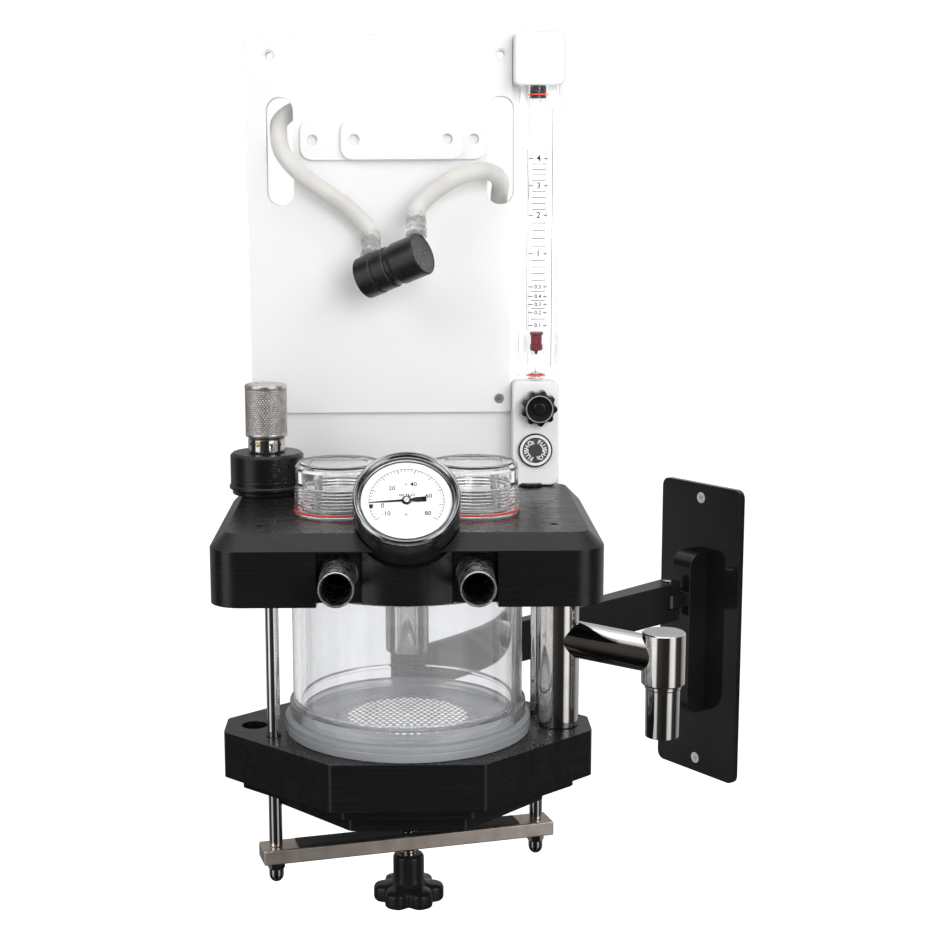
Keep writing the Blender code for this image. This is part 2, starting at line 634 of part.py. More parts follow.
def make_rods_and_clamp(frame, finish):
    yaw = math.atan2(ROD_Y, ROD_X)
    along = Matrix.Rotation(yaw, 3, "Z")
    for name, nut, side in (("rod_front_left", "acorn_nut_left", -1), ("rod_back_right", "acorn_nut_right", 1)):
        spot = (side * ROD_X, side * ROD_Y, 0)
        top = HEAD_BOTTOM - GAP
        rod = [(0, top), (ROD_RADIUS, top), (ROD_RADIUS, CROSSBAR_TOP + GAP), (3.2, CROSSBAR_TOP + GAP)]
        rod += [(3.2, CROSSBAR_BOTTOM - 6), (0, CROSSBAR_BOTTOM - 6)]
        turned(name, rod, finish["chrome"], frame, spot, facets=24)
        low = CROSSBAR_BOTTOM - GAP
        hexagon = place(nut, cylinder(5.8, 5.6, 6), finish["chrome"], frame, (spot[0], spot[1], low - 5.6))
        dome = [(0, low - 5), (5.0, low - 5), (5.0, low - 10), (4.1, low - 12.6), (2.3, low - 14.2), (0, low - 14.8)]
        combine(hexagon, turned(f"{nut}_dome", dome, None, frame, spot, facets=24), "UNION")
        bore(hexagon, frame, (spot[0], spot[1], CROSSBAR_BOTTOM - 6.6), 3.5, 12, facets=16)
    half = CROSSBAR_LENGTH / 2
    low_corner = (-half, -CROSSBAR_DEPTH / 2, CROSSBAR_BOTTOM)
    bar = place("crossbar", box(low_corner, (half, CROSSBAR_DEPTH / 2, CROSSBAR_TOP)), finish["steel"], frame, turn=along)
    edges = bar.modifiers.new("softened edges", "BEVEL")
    edges.width = 0.7 * MM
    edges.segments = 1
    for side in (-1, 1):
        bore(bar, frame, (side * ROD_X, side * ROD_Y, CROSSBAR_BOTTOM - 5), 3.5, 30, facets=16)
    bore(bar, frame, (0, 0, CROSSBAR_BOTTOM - 5), SCREW_RADIUS + GAP, 30, facets=24)

    low = INSET_BOTTOMS[-1] - GAP
    pad = [(0, low), (13.0, low), (14.0, low - 1), (14.0, low - 7), (9.0, low - 13)]
    pad += [(5.4, low - 13), (5.4, low - 4), (0, low - 4)]
    turned("clamp_pad", pad, finish["steel"], frame, facets=24)
    top = low - 4 - GAP
    screw = [(0, top), (3.8, top), (SCREW_RADIUS, top - 1.4), (SCREW_RADIUS, -116), (0, -116)]
    turned("clamp_screw", screw, finish["steel"], frame, facets=24)

    star = plate(list(lobed(21.0, 2.9, 6, 48)), KNOB_BOTTOM, KNOB_TOP)
    knob = place("clamp_knob", star, finish["black_gloss_plastic"], frame)
    edges = knob.modifiers.new("rounded lobes", "BEVEL")
    edges.width = 2.6 * MM
    edges.segments = 1
    edges.limit_method = "ANGLE"
    edges.angle_limit = math.radians(60)
    hub = [(0, -91.0), (9.2, -91.0), (10.6, -92.6), (10.6, -107), (13, KNOB_TOP), (13, -118), (0, -118)]
    combine(knob, turned("knob_hub", hub, None, frame, facets=24), "UNION")
    bore(knob, frame, (0, 0, -116 - GAP), SCREW_RADIUS + GAP, 40, facets=24)


def make_bag_mount(frame, finish):
    top = HEAD_BOTTOM - GAP
    wall = 2.0
    column = [(COLUMN_RADIUS, top), (COLUMN_RADIUS, GAP), (COLUMN_RADIUS - wall, GAP), (COLUMN_RADIUS - wall, top)]
    turned("bag_column", column, finish["chrome"], frame, (COLUMN_X, 0, 0), closed=True)
    start = Vector((COLUMN_X, 0, BAG_ARM_START_Z))
    end = Vector((BAG_X, BAG_Y, BAG_ARM_END_Z))
    along = (end - start).normalized()
    arm = place("bag_arm", cylinder(BAG_ARM_RADIUS, (end - start).length), finish["chrome"], frame, start, facing(along))
    bore(arm, frame, (COLUMN_X, 0, 20), COLUMN_RADIUS + GAP, 80)
    bore(arm, frame, (BAG_X, BAG_Y, 10), BAG_UPPER_RADIUS + GAP, 80)
    bore(arm, frame, start - 10 * along, BAG_ARM_RADIUS - wall, 100, facing(along), facets=24)
    upper, lower = BAG_UPPER_RADIUS, TAPER_RADIUS
    port = [(0, BAG_TOP), (upper - 0.6, BAG_TOP), (upper, BAG_TOP - 0.6), (upper, BAG_STEP + 0.8), (upper - 0.8, BAG_STEP)]
    port += [(lower + 0.9, BAG_STEP), (lower + 0.9, BAG_STEP - 2.5), (lower + 0.3, BAG_STEP - 3), (lower, BAG_BOTTOM)]
    port += [(lower - wall, BAG_BOTTOM), (lower - wall, 62), (0, 62)]
    turned("bag_port", port, finish["chrome"], frame, (BAG_X, BAG_Y, 0))


def make_pivot_sleeve(frame, finish):
    top = HEAD_BOTTOM - GAP
    low = ARM_CENTRE_Z + ARM_HEIGHT / 2 + GAP
    radius = SLEEVE_RADIUS
    inner = SHAFT_RADIUS + GAP
    sleeve = [(radius, top), (radius, low + 0.8), (radius - 0.8, low), (inner, low), (inner, top)]
    turned("pivot_sleeve", sleeve, finish["chrome"], frame, (0, PIVOT_Y, 0), closed=True)


# ---------------------------------------------------------------- panel, flowmeter and gas supply


def slot_outline(x_range, z_range):
    """An upright slot with rounded corners."""
    low_x, high_x = x_range
    low_z, high_z = z_range
    corners = [(low_x, low_z), (high_x, low_z), (high_x, high_z), (low_x, high_z)]
    return rounded_outline(corners, (high_x - low_x) / 2 - 0.4, 6)


def standing_plate(name, outline, front, back, finish, frame, holes=()):
    """A plate whose outline is in X and Z, between two Y positions."""
    return place(name, to_front(plate(outline, -back, -front, holes)), finish, frame)


def make_panel(frame, finish):
    slots = [slot_outline(x_range, SLOT_Z) for x_range in SLOTS_X]
    screw_holes = [circle(x, z, 2.6, 12) for x, z in CORNER_HOLES]
    corners = [(PANEL_LEFT, PANEL_BOTTOM), (PANEL_RIGHT, PANEL_BOTTOM), (PANEL_RIGHT, PANEL_TOP), (PANEL_LEFT, PANEL_TOP)]
    front = HEAD_BACK + GAP
    outline = rounded_outline(corners, 2.5, 2)
    standing_plate("back_panel", outline, front, PANEL_BACK, finish["white"], frame, slots + screw_holes)
    left, right, bottom = PANEL_LEFT, UPPER_PANEL_RIGHT, UPPER_PANEL_BOTTOM
    corners = [(left, bottom), (right, bottom), (right, PANEL_TOP), (left, PANEL_TOP)]
    outline = rounded_outline(corners, 2.0, 2)
    notch = [slots[0], slots[1]]
    upper = standing_plate(
        "upper_panel", outline, UPPER_PANEL_FRONT, front - GAP, finish["white"], frame, [notch[0]] + screw_holes
    )
    slot_tool = standing_plate("slot_cutter", slots[1], UPPER_PANEL_FRONT - 4, front + 4, None, frame)
    combine(upper, slot_tool)
    for x, z in CORNER_HOLES:
        sink = [(0, 2.0), (5.9, 2.0), (2.8, -1.4), (0, -1.4)]
        spot = (x, UPPER_PANEL_FRONT, z)
        combine(upper, turned("corner_sink", sink, None, frame, spot, facing((0, -1, 0)), facets=16))


def make_vaporizer_bar(frame, finish):
    low, high = BAR_Z
    middle = (low + high) / 2
    back = UPPER_PANEL_FRONT - GAP
    for name, (left, right), front, holes in (
        ("vaporizer_bar", BAR_X, BAR_FRONT, BAR_HOLES),
        ("vaporizer_rail", RAIL_X, RAIL_FRONT, RAIL_HOLES),
    ):
        outline = rounded_outline([(left, low), (right, low), (right, high), (left, high)], 8.0, 5)
        drilled = [circle(x, middle, 3.6, 16) for x in holes]
        made = standing_plate(name, outline, front, back, finish["white"], frame, drilled)
        edges = made.modifiers.new("softened edges", "BEVEL")
        edges.width = 0.5 * MM
        edges.segments = 1
        edges.limit_method = "ANGLE"
        edges.angle_limit = math.radians(60)
        back = front - GAP


def make_flowmeter(frame, finish):
    back = HEAD_BACK
    left, right = METER_BLOCK_X
    low = (left, METER_BLOCK_FRONT, METER_Z[1] + GAP)
    top_block = box(low, (right, back, PANEL_TOP), "Y", 4.0, 3)
    place("flowmeter_top_block", top_block, finish["white"], frame)
    body = box((METER_X[0], METER_FRONT, METER_Z[0]), (METER_X[1], back, METER_Z[1]), "Z", 1.5, 2)
    meter = place("flowmeter_body", body, finish["clear"], frame)
    bore(meter, frame, (METER_AXIS_X, METER_AXIS_Y, METER_Z[0] - 5), METER_BORE, METER_Z[1] - METER_Z[0] + 10, facets=24)
    low = 231.0
    float_body = [(0, low + 23), (5.2, low + 23), (6.2, low + 21.5), (6.2, low + 19.5), (4.2, low + 15)]
    float_body += [(4.2, low + 9), (5.6, low + 5), (5.6, low + 3), (1.2, low + 2), (1.2, low), (0, low)]
    spot = (METER_AXIS_X, METER_AXIS_Y, 0)
    turned("flowmeter_float", float_body, finish["red"], frame, spot, facets=24)

    left, right = VALVE_BLOCK_X
    bottom, top = VALVE_BLOCK_Z
    block_mesh = box((left, VALVE_BLOCK_FRONT, bottom), (right, back, top), "Y", 5.0, 3)
    block = place("valve_block", block_mesh, finish["white"], frame)
    forward = facing((0, -1, 0))
    knob_x, knob_z = FLOW_KNOB
    button_x, button_z = FLUSH_BUTTON
    bore(block, frame, (knob_x, 111, knob_z), 3.3, 30, forward, facets=24)
    bore(block, frame, (button_x, 106, button_z), 10.6, 30, forward, facets=24)
    stem = [(0, 28), (3.0, 28), (3.0, 8), (1.0, 1.0), (0, 1.0)]
    turned("needle_stem", stem, finish["brass"], frame, (knob_x, 111, knob_z), forward, facets=24)
    face = VALVE_BLOCK_FRONT - 1.5
    knob_mesh = plate(list(lobed(11.9, 0.9, 8, 48)), 0.0, 14.0)
    knob = place("flow_knob", knob_mesh, finish["black_gloss_plastic"], frame, (knob_x, face, knob_z), forward)
    edges = knob.modifiers.new("rounded lobes", "BEVEL")
    edges.width = 1.2 * MM
    edges.segments = 1
    edges.limit_method = "ANGLE"
    edges.angle_limit = math.radians(60)
    dish = [(0, 18), (9.6, 18), (8.6, 13.0), (5.0, 11.6), (0, 11.2)]
    combine(knob, turned("knob_dish", dish, None, frame, (knob_x, face, knob_z), forward, facets=24))
    bore(knob, frame, (knob_x, 96, knob_z), 3.3, 14.2, forward, facets=24)
    sleeve = [(11.9, 2.8), (11.9, 0.3), (10.3, 0.3), (10.3, -8.0), (9.3, -8.0), (9.3, 2.8), (9.9, 3.4), (11.3, 3.4)]
    spot = (button_x, VALVE_BLOCK_FRONT, button_z)
    turned("flush_bezel", sleeve, finish["black_gloss_plastic"], frame, spot, forward, closed=True, facets=24)
    button = [(0, 2.4), (5.5, 2.6), (8.4, 2.9), (8.9, 2.4), (8.9, -4.0), (0, -4.0)]
    turned("flush_button", button, finish["black_gloss_plastic"], frame, spot, forward, facets=24)


def make_elbow(name, at, barb_direction, finish, frame):
    """A hose elbow on the back of the panel, with its barb in the given direction."""
    base = [(0, 14.5), (5.5, 14.5), (6.5, 13.5), (6.5, 4.0), (9.0, 4.0), (9.0, GAP), (0, GAP)]
    elbow = turned(name, base, finish["brass"], frame, at, facing((0, 1, 0)), facets=24)
    barb = [(0, 18.0), (3.4, 18.0), (4.2, 14.0), (3.6, 14.0), (3.6, 0), (0, 0)]
    spot = at + Vector((0, 8.5, 0))
    combine(elbow, turned(f"{name}_barb", barb, None, frame, spot, facing(barb_direction), facets=24), "UNION")
    return spot + Vector(barb_direction) * (18.0 + GAP)


def make_hoses(frame, finish):
    outlet = make_elbow("gas_outlet_elbow", OUTLET_ELBOW, Vector((-1, 0, 0)), finish, frame)
    inlet = make_elbow("fresh_gas_elbow", INLET_ELBOW, Vector((0, 0, 1)), finish, frame)

    axis = CONNECTOR_AXIS
    up = Vector((0, axis.z, -axis.y)).normalized()
    radius = CONNECTOR_RADIUS
    ends = {}
    for name, side in (("connector_socket", -1), ("connector_plug", 1)):
        face = radius - 0.8
        groove = radius - 0.7
        barrel = [(0, CONNECTOR_HALF), (face, CONNECTOR_HALF), (radius, CONNECTOR_HALF - 0.8), (radius, 9.4)]
        barrel += [(groove, 9.0), (groove, 8.0), (radius, 7.6), (radius, 1.0), (face, GAP / 2), (0, GAP / 2)]
        turn = facing(axis * side)
        made = turned(name, barrel, finish["black"], frame, CONNECTOR_CENTRE, turn)
        root = CONNECTOR_CENTRE + axis * side * STUB_ALONG
        reach = radius + STUB_LENGTH
        stub = [(0, reach), (3.6, reach), (4.6, reach - 4), (4.0, reach - 4), (4.0, radius - 3), (0, radius - 3)]
        combine(made, turned(f"{name}_stub", stub, None, frame, root, facing(up), facets=24), "UNION")
        ends[side] = root + up * (reach + 4 * GAP)

    left_route = [
        outlet,
        outlet + Vector((-10, 0, 0)),
        (30, 142, 431),
        (-20, 149, 425),
        (-52, 151, 417),
        (-76, 145, 410),
        (-87, 131, 402),
        (-88, 117.0, 393),
        (-84.5, 102.5, 379),
        (-72, 94, 364.5),
        (-57, 92.5, 353.5),
        (-43, 95.5, 344),
        (-31, 98.5, 333),
        ends[-1] + up * 7,
        ends[-1],
    ]
    right_route = [
        inlet,
        inlet + Vector((0, 0, 10)),
        (67, 136, 180),
        (67, 144, 235),
        (67, 150, 290),
        (67, 148, 323),
        (67, 138.5, 342.5),
        (67, 125.3, 352),
        (66.8, 112, 357),
        (62.5, 97.5, 363),
        (50, 88.0, 365.5),
        (32, 83, 359.5),
        (15, 82.5, 347.5),
        ends[1] + up * 7,
        ends[1],
    ]
    hose("hose_left", left_route, finish["silicone"], frame)
    hose("hose_right", right_route, finish["silicone"], frame)


# ---------------------------------------------------------------- assembly


def main():
    clear_scene()
    finish = make_materials()
    wall_frame = empty("wall_frame", (0, 0, 0), WALL_YAW)
    hinge = Matrix.Rotation(WALL_YAW, 3, "Z") @ Vector((0, -PIVOT_STANDOFF, ARM_RISE))
    arm_frame = empty("arm_frame", hinge, ARM_YAW)
    pivot = hinge + Matrix.Rotation(ARM_YAW, 3, "Z") @ Vector((0, -ARM_LENGTH, 0))
    machine_frame = empty("machine_frame", pivot - Vector((0, PIVOT_Y, ARM_CENTRE_Z)))

    make_wall_mount(wall_frame, finish)
    make_swing_arm(arm_frame, finish)
    make_head(machine_frame, finish)
    make_check_valves(machine_frame, finish)
    make_gauge(machine_frame, finish)
    make_pop_off_valve(machine_frame, finish)
    make_absorber_base(machine_frame, finish)
    make_rods_and_clamp(machine_frame, finish)
    make_bag_mount(machine_frame, finish)
    make_pivot_sleeve(machine_frame, finish)
    make_panel(machine_frame, finish)
    make_vaporizer_bar(machine_frame, finish)
    make_flowmeter(machine_frame, finish)
    make_hoses(machine_frame, finish)


main()
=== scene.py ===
"""The looks of a wall-mounted inhalation anaesthesia machine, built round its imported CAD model.

Local lengths are in millimetres. Each piece is drawn in its own frame and placed in the shared
frame, in metres, by one matrix.
"""

import json
from math import atan2, cos, floor, hypot, pi, radians, sin, sqrt, tan, tau

import bmesh
import bpy
from mathutils import Matrix, Vector

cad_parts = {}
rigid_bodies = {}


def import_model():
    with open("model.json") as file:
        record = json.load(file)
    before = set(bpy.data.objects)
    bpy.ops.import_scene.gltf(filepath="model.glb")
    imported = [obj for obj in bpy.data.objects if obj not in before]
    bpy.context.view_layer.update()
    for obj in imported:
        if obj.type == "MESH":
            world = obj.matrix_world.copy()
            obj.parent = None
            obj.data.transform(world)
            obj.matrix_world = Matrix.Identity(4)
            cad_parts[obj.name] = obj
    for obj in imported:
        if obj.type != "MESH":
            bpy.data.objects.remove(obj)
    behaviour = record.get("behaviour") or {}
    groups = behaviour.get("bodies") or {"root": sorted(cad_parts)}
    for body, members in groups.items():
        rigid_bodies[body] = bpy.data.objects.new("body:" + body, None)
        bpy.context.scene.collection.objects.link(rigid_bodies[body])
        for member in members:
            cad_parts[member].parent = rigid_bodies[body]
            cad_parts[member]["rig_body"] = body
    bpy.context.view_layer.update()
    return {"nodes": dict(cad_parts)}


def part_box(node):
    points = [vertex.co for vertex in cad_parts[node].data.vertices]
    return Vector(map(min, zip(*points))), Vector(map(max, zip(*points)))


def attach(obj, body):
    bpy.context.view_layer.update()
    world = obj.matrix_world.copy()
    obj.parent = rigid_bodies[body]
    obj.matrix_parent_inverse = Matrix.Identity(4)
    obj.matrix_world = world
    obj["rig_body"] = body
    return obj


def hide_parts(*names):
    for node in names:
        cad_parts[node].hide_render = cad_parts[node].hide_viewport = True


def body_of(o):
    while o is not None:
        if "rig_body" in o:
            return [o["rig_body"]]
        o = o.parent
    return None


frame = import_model()

MM = 0.001
GAP = 0.3  # clearance between pieces that touch or slide
Z = Vector((0, 0, 1))
FINISHES = {}  # finish name: (material, slot)


def having(thing, **settings):
    """The same thing with these settings."""
    for name, value in settings.items():
        setattr(thing, name, value)
    return thing


def shift(x, y, z):
    return Matrix.Translation((x, y, z))


def turn_z(degrees):
    return Matrix.Rotation(radians(degrees), 4, "Z")


def facing(direction):
    """Takes +Z to a direction."""
    return Vector(direction).to_track_quat("Z", "Y").to_matrix().to_4x4()


FORWARD = facing((0, -1, 0))
UPRIGHT = Matrix.Rotation(radians(90), 4, "X")

# The canister's axis and lower end place the machine, and the wall plate's back face is the origin.
WALL_YAW, ARM_YAW = -55.0, -46.2
ARM_LENGTH = 305.0
CANISTER_LOW, CANISTER_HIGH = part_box("canister")
AXIS_X = (CANISTER_LOW.x + CANISTER_HIGH.x) / 2
AXIS_Y = (CANISTER_LOW.y + CANISTER_HIGH.y) / 2
MACHINE_ORIGIN = Vector((AXIS_X, AXIS_Y, CANISTER_LOW.z - GAP * MM))
MACHINE = Matrix.Translation(MACHINE_ORIGIN) @ Matrix.Scale(MM, 4)
WALL = turn_z(WALL_YAW) @ Matrix.Scale(MM, 4)
HINGE = WALL @ Vector((0, -41.0, 31.0))
ARM = Matrix.Translation(HINGE) @ turn_z(ARM_YAW) @ Matrix.Scale(MM, 4)


# ---- shader nodes

WHITE = (1.0, 1.0, 1.0, 1.0)
NOISE_LOW, NOISE_HIGH = 0.3, 0.7  # most of a noise texture's values lie between these


def node(tree, kind, inputs=None, **settings):
    """A shader node. Each input is given a number or colour, or the output that feeds it."""
    made = having(tree.nodes.new("ShaderNode" + kind), **settings)
    for socket, value in (inputs or {}).items():
        if isinstance(value, bpy.types.NodeSocket):
            tree.links.new(value, made.inputs[socket])
        else:
            made.inputs[socket].default_value = value
    return made


def mixed(tree, share, first, second):
    return node(tree, "MixShader", {0: share, 1: first.outputs[0], 2: second.outputs[0]})


def grain(tree, scale, detail=3.0, stretch=(1, 1, 1), turn=0.0, distortion=0.0):
    """Noise with this many cells per millimetre, finer or longer along the axes in stretch."""
    coords = node(tree, "TexCoord").outputs["Object"]
    scales = [scale * s / MM for s in stretch]
    placed = node(tree, "Mapping", {"Vector": coords, "Rotation": (0.0, 0.0, turn), "Scale": scales})
    values = {"Vector": placed.outputs[0], "Scale": 1.0, "Detail": detail, "Distortion": distortion}
    return node(tree, "TexNoise", values).outputs["Fac"]


def spread(tree, source, low, high, from_low=NOISE_LOW, from_high=NOISE_HIGH):
    """Maps a noise value to a range of numbers."""
    limits = {"From Min": from_low, "From Max": from_high, "To Min": low, "To Max": high}
    return node(tree, "MapRange", {"Value": source, **limits}).outputs[0]


def tint(tree, source, stops):
    """A colour ramp with (position, grey or colour) stops."""
    made = node(tree, "ValToRGB", {0: source})
    ramp = made.color_ramp
    while len(ramp.elements) > 1:
        ramp.elements.remove(ramp.elements[-1])
    for i, (position, colour) in enumerate(stops):
        stop = ramp.elements[0] if i == 0 else ramp.elements.new(position)
        stop.position = position
        stop.color = (colour, colour, colour, 1.0) if isinstance(colour, float) else (*colour, 1.0)
    return made.outputs[0]


def relief(tree, shader, heights):
    """Adds bumps to a shader from (source, depth in millimetres, strength) rows."""
    last = None
    for source, depth, strength in heights:
        values = {"Strength": strength, "Distance": depth * MM, "Height": source}
        if last is not None:
            values["Normal"] = last
        last = node(tree, "Bump", values).outputs[0]
    tree.links.new(last, shader.inputs["Normal"])


def new_finish(name, sockets):
    finish = bpy.data.materials.new(name)
    finish.use_nodes = True
    tree = finish.node_tree
    tree.nodes.clear()
    shader = node(tree, "BsdfPrincipled", sockets)
    out = node(tree, "OutputMaterial", {"Surface": shader.outputs[0]})
    return finish, tree, shader, out


def mirrored(tree):
    """The light path, and a value that is one for reflections only, not for what clear plastic shows."""
    path = node(tree, "LightPath")
    rays = {0: path.outputs["Is Glossy Ray"], 1: path.outputs["Is Transmission Ray"]}
    return path, node(tree, "Math", rays, operation="SUBTRACT", use_clamp=True).outputs[0]


# ---- camera and light

AMBIENT = 0.45  # the world's strength for diffuse light
FLOOR_HEIGHT, FLOOR_SIZE = -0.62, 40.0
FLOOR_GLOW, FLOOR_BOUNCE = 0.65, 0.6  # the floor's own light to the eye, and to diffuse light
CAMERA_PLACE = (-0.25372, -1.46302, 0.38014)
CAMERA_TILT, CAMERA_ROLL = 80.116, -0.324
LIGHTS_AIM = Vector((-0.24, -0.3, 0.15))
BANDS = [  # the studio's reflections: (share of a turn, grey or colour)
    (0.0, 0.42), (0.04, 0.28), (0.15, 0.4), (0.19, 0.4), (0.215, (0.05, 0.042, 0.036)),
    (0.295, (0.035, 0.03, 0.027)), (0.315, 1.5), (0.375, 1.4), (0.40, (0.09, 0.078, 0.07)),
    (0.49, 0.03), (0.565, 0.03), (0.595, 1.3), (0.645, 1.5), (0.675, (0.08, 0.068, 0.06)),
    (0.755, (0.035, 0.03, 0.027)), (0.80, 0.45), (0.85, 0.65), (0.96, 0.6), (1.0, 0.42),
]


def put(name, data):
    """A new object in the scene."""
    made = bpy.data.objects.new(name, data)
    bpy.context.scene.collection.objects.link(made)
    return made


def meshed(name, bm):
    mesh = bpy.data.meshes.new(name)
    bm.to_mesh(mesh)
    bm.free()
    return mesh


def make_camera():
    data = having(
        bpy.data.cameras.new("camera"), lens=66.27, sensor_width=36.0, shift_x=0.0721, shift_y=0.0125,
        clip_start=0.05, clip_end=60.0,
    )
    camera = put("camera", data)
    tilt = Matrix.Rotation(radians(CAMERA_TILT), 4, "X")
    camera.matrix_world = Matrix.Translation(CAMERA_PLACE) @ tilt @ turn_z(CAMERA_ROLL)
    bpy.context.scene.camera = camera


def area_light(name, at, width, height, watts):
    data = bpy.data.lights.new(name, "AREA")
    made = put(name, having(data, shape="RECTANGLE", size=width, size_y=height, energy=watts))
    aim = LIGHTS_AIM - Vector(at)
    made.matrix_world = Matrix.Translation(at) @ aim.to_track_quat("-Z", "Y").to_matrix().to_4x4()
    return made


def studio_bands(tree, split):
    """Bright and dark upright bands by compass direction, from a split vector."""
    south = node(tree, "Math", {0: split.outputs["Y"], 1: -1.0}, operation="MULTIPLY").outputs[0]
    turn = node(tree, "Math", {0: split.outputs["X"], 1: south}, operation="ARCTAN2").outputs[0]
    return tint(tree, spread(tree, turn, 0.0, 1.0, -pi, pi), BANDS)


def make_world():
    """White to the eye and to diffuse light. Gloss sees a studio with dark bands between its lights."""
    world = bpy.data.worlds.new("studio")
    bpy.context.scene.world = world
    world.use_nodes = True
    tree = world.node_tree
    tree.nodes.clear()
    split = node(tree, "SeparateXYZ", {0: node(tree, "TexCoord").outputs["Generated"]})
    ceiling = spread(tree, split.outputs["Z"], 0.0, 1.0, 0.66, 0.86)
    colours = {"Factor": ceiling, "A": studio_bands(tree, split), "B": WHITE}
    roof = node(tree, "Mix", colours, data_type="RGBA").outputs["Result"]
    path, reflected = mirrored(tree)
    seen, ambient = [node(tree, "Background", {"Color": WHITE, "Strength": s}) for s in (1.0, AMBIENT)]
    direct = mixed(tree, path.outputs["Is Diffuse Ray"], seen, ambient)
    sky = mixed(tree, reflected, direct, node(tree, "Background", {"Color": roof}))
    node(tree, "OutputWorld", {"Surface": sky.outputs[0]})


def make_stage():
    """A white floor that gloss sees as a continuation of the studio's bands."""
    bm = bmesh.new()
    bmesh.ops.create_grid(bm, x_segments=2, y_segments=2, size=FLOOR_SIZE)
    made = put("floor", meshed("floor", bm))
    made.location = (0.0, 0.0, FLOOR_HEIGHT)
    matt = {"Roughness": 0.9, "Specular IOR Level": 0.1}
    matt |= {"Emission Color": WHITE, "Emission Strength": FLOOR_GLOW}
    finish, tree, shader, out = new_finish("floor_white", matt)
    pale = tint(tree, grain(tree, 0.002, 2), [(NOISE_LOW, 0.93), (NOISE_HIGH, 0.95)])
    tree.links.new(pale, shader.inputs["Base Color"])
    place = node(tree, "NewGeometry").outputs["Position"]
    middle = (MACHINE_ORIGIN.x, MACHINE_ORIGIN.y, 0.0)
    offset = node(tree, "VectorMath", {0: place, 1: middle}, operation="SUBTRACT").outputs[0]
    away = node(tree, "VectorMath", {0: offset}, operation="LENGTH").outputs["Value"]
    split = node(tree, "SeparateXYZ", {0: offset})
    bands = {"Strength": spread(tree, away, 0.05, 0.8, 0.9, 2.6), "Color": studio_bands(tree, split)}
    path, reflected = mirrored(tree)
    glow = node(tree, "Emission", {"Strength": FLOOR_BOUNCE})
    lit = mixed(tree, path.outputs["Is Diffuse Ray"], shader, glow)
    seen = mixed(tree, reflected, lit, node(tree, "Emission", bands))
    tree.links.new(seen.outputs[0], out.inputs["Surface"])
    made.data.materials.append(finish)


def make_lights():
    area_light("key_left", (-1.5, -1.6, 1.35), 0.9, 0.9, 8.0)
    area_light("key_right", (1.05, -1.7, 1.3), 0.9, 0.9, 6.5)
    area_light("top_soft", (-0.24, -0.4, 1.9), 1.4, 1.2, 3.0)
    area_light("front_fill", (0.3, -2.1, 0.7), 0.9, 0.9, 20.5).visible_glossy = False
    having(bpy.context.scene.view_settings, view_transform="Standard", look="None", exposure=0.0)
    having(
        bpy.context.scene.cycles, max_bounces=16, transmission_bounces=14, transparent_max_bounces=16,
        glossy_bounces=6, caustics_refractive=True, caustics_reflective=False, sample_clamp_indirect=6.0,
    )


# ---- materials


def surface(name, low, high, cloud, fine, rough, bumps, sockets=None):
    """A material with noise in its colour, its roughness and its relief.

    cloud and fine hold grain() arguments, for the colour from low to high and for the roughness. Each
    bump is (grain() arguments, or None for the fine noise, depth in millimetres, strength).
    """
    finish, tree, shader, _ = new_finish(name, sockets)
    colour = tint(tree, grain(tree, *cloud), [(NOISE_LOW, low), (NOISE_HIGH, high)])
    tree.links.new(colour, shader.inputs["Base Color"])
    noise = grain(tree, *fine)
    tree.links.new(spread(tree, noise, *rough), shader.inputs["Roughness"])
    rows = [(grain(tree, *of) if of else noise, depth, power) for of, depth, power in bumps]
    relief(tree, shader, rows)
    return finish


def plain(name, low, high, rough, sockets=None):
    span = (rough * 0.8, rough * 1.2)
    return surface(name, low, high, (0.1, 3), (0.8, 3), span, [(None, 0.01, 0.2)], sockets)


def metal(name, low, high, rough):
    return plain(name, low, high, rough, {"Metallic": 1.0})


def machined_plastic():
    """Black acetal with the fine lines that a cutter leaves round its sides, and swirls on its top."""
    finish, tree, shader, _ = new_finish("black_machined_plastic", {"Specular IOR Level": 0.42})
    layers = grain(tree, 1.0, 5, (0.012, 0.012, 1.6))
    swirl = grain(tree, 0.05, 6, (0.5, 2.2, 1.0), 0.5, 1.4)
    scuffs = grain(tree, 0.9, 4)
    colour = tint(tree, layers, [(NOISE_LOW, 0.004), (0.62, 0.007), (0.75, 0.013)])
    tree.links.new(colour, shader.inputs["Base Color"])
    parts = {0: swirl, 1: 0.6, 2: spread(tree, scuffs, 0.0, 0.25)}
    blend = node(tree, "Math", parts, operation="MULTIPLY_ADD").outputs[0]
    tree.links.new(spread(tree, blend, 0.2, 0.38, 0.25, 0.65), shader.inputs["Roughness"])
    relief(tree, shader, [(layers, 0.03, 0.35), (scuffs, 0.008, 0.2)])
    return finish


def chrome(name="chrome_plate", rough=0.045):
    """Polished plate over turned metal, with faint turning lines and a warm, uneven film."""
    lines = ((0.8, 2, (0.04, 0.04, 1)), 0.004, 0.15)
    warm, pale = (0.63, 0.61, 0.59), (0.74, 0.725, 0.71)
    smear, span = (0.25, 4, (1, 1, 0.3)), (rough * 0.7, rough * 1.8)
    return surface(name, warm, pale, (0.06, 4), smear, span, [lines], {"Metallic": 1.0})


def steel(name, stretch, rough):
    """Steel with brushed lines along the axes that stretch makes long."""
    low, high = (0.47, 0.45, 0.43), (0.62, 0.6, 0.575)
    span = (rough * 0.75, rough * 1.35)
    lines = [(None, 0.01, 0.3)]
    return surface(name, low, high, (0.08, 4), (2.0, 4, stretch), span, lines, {"Metallic": 1.0})


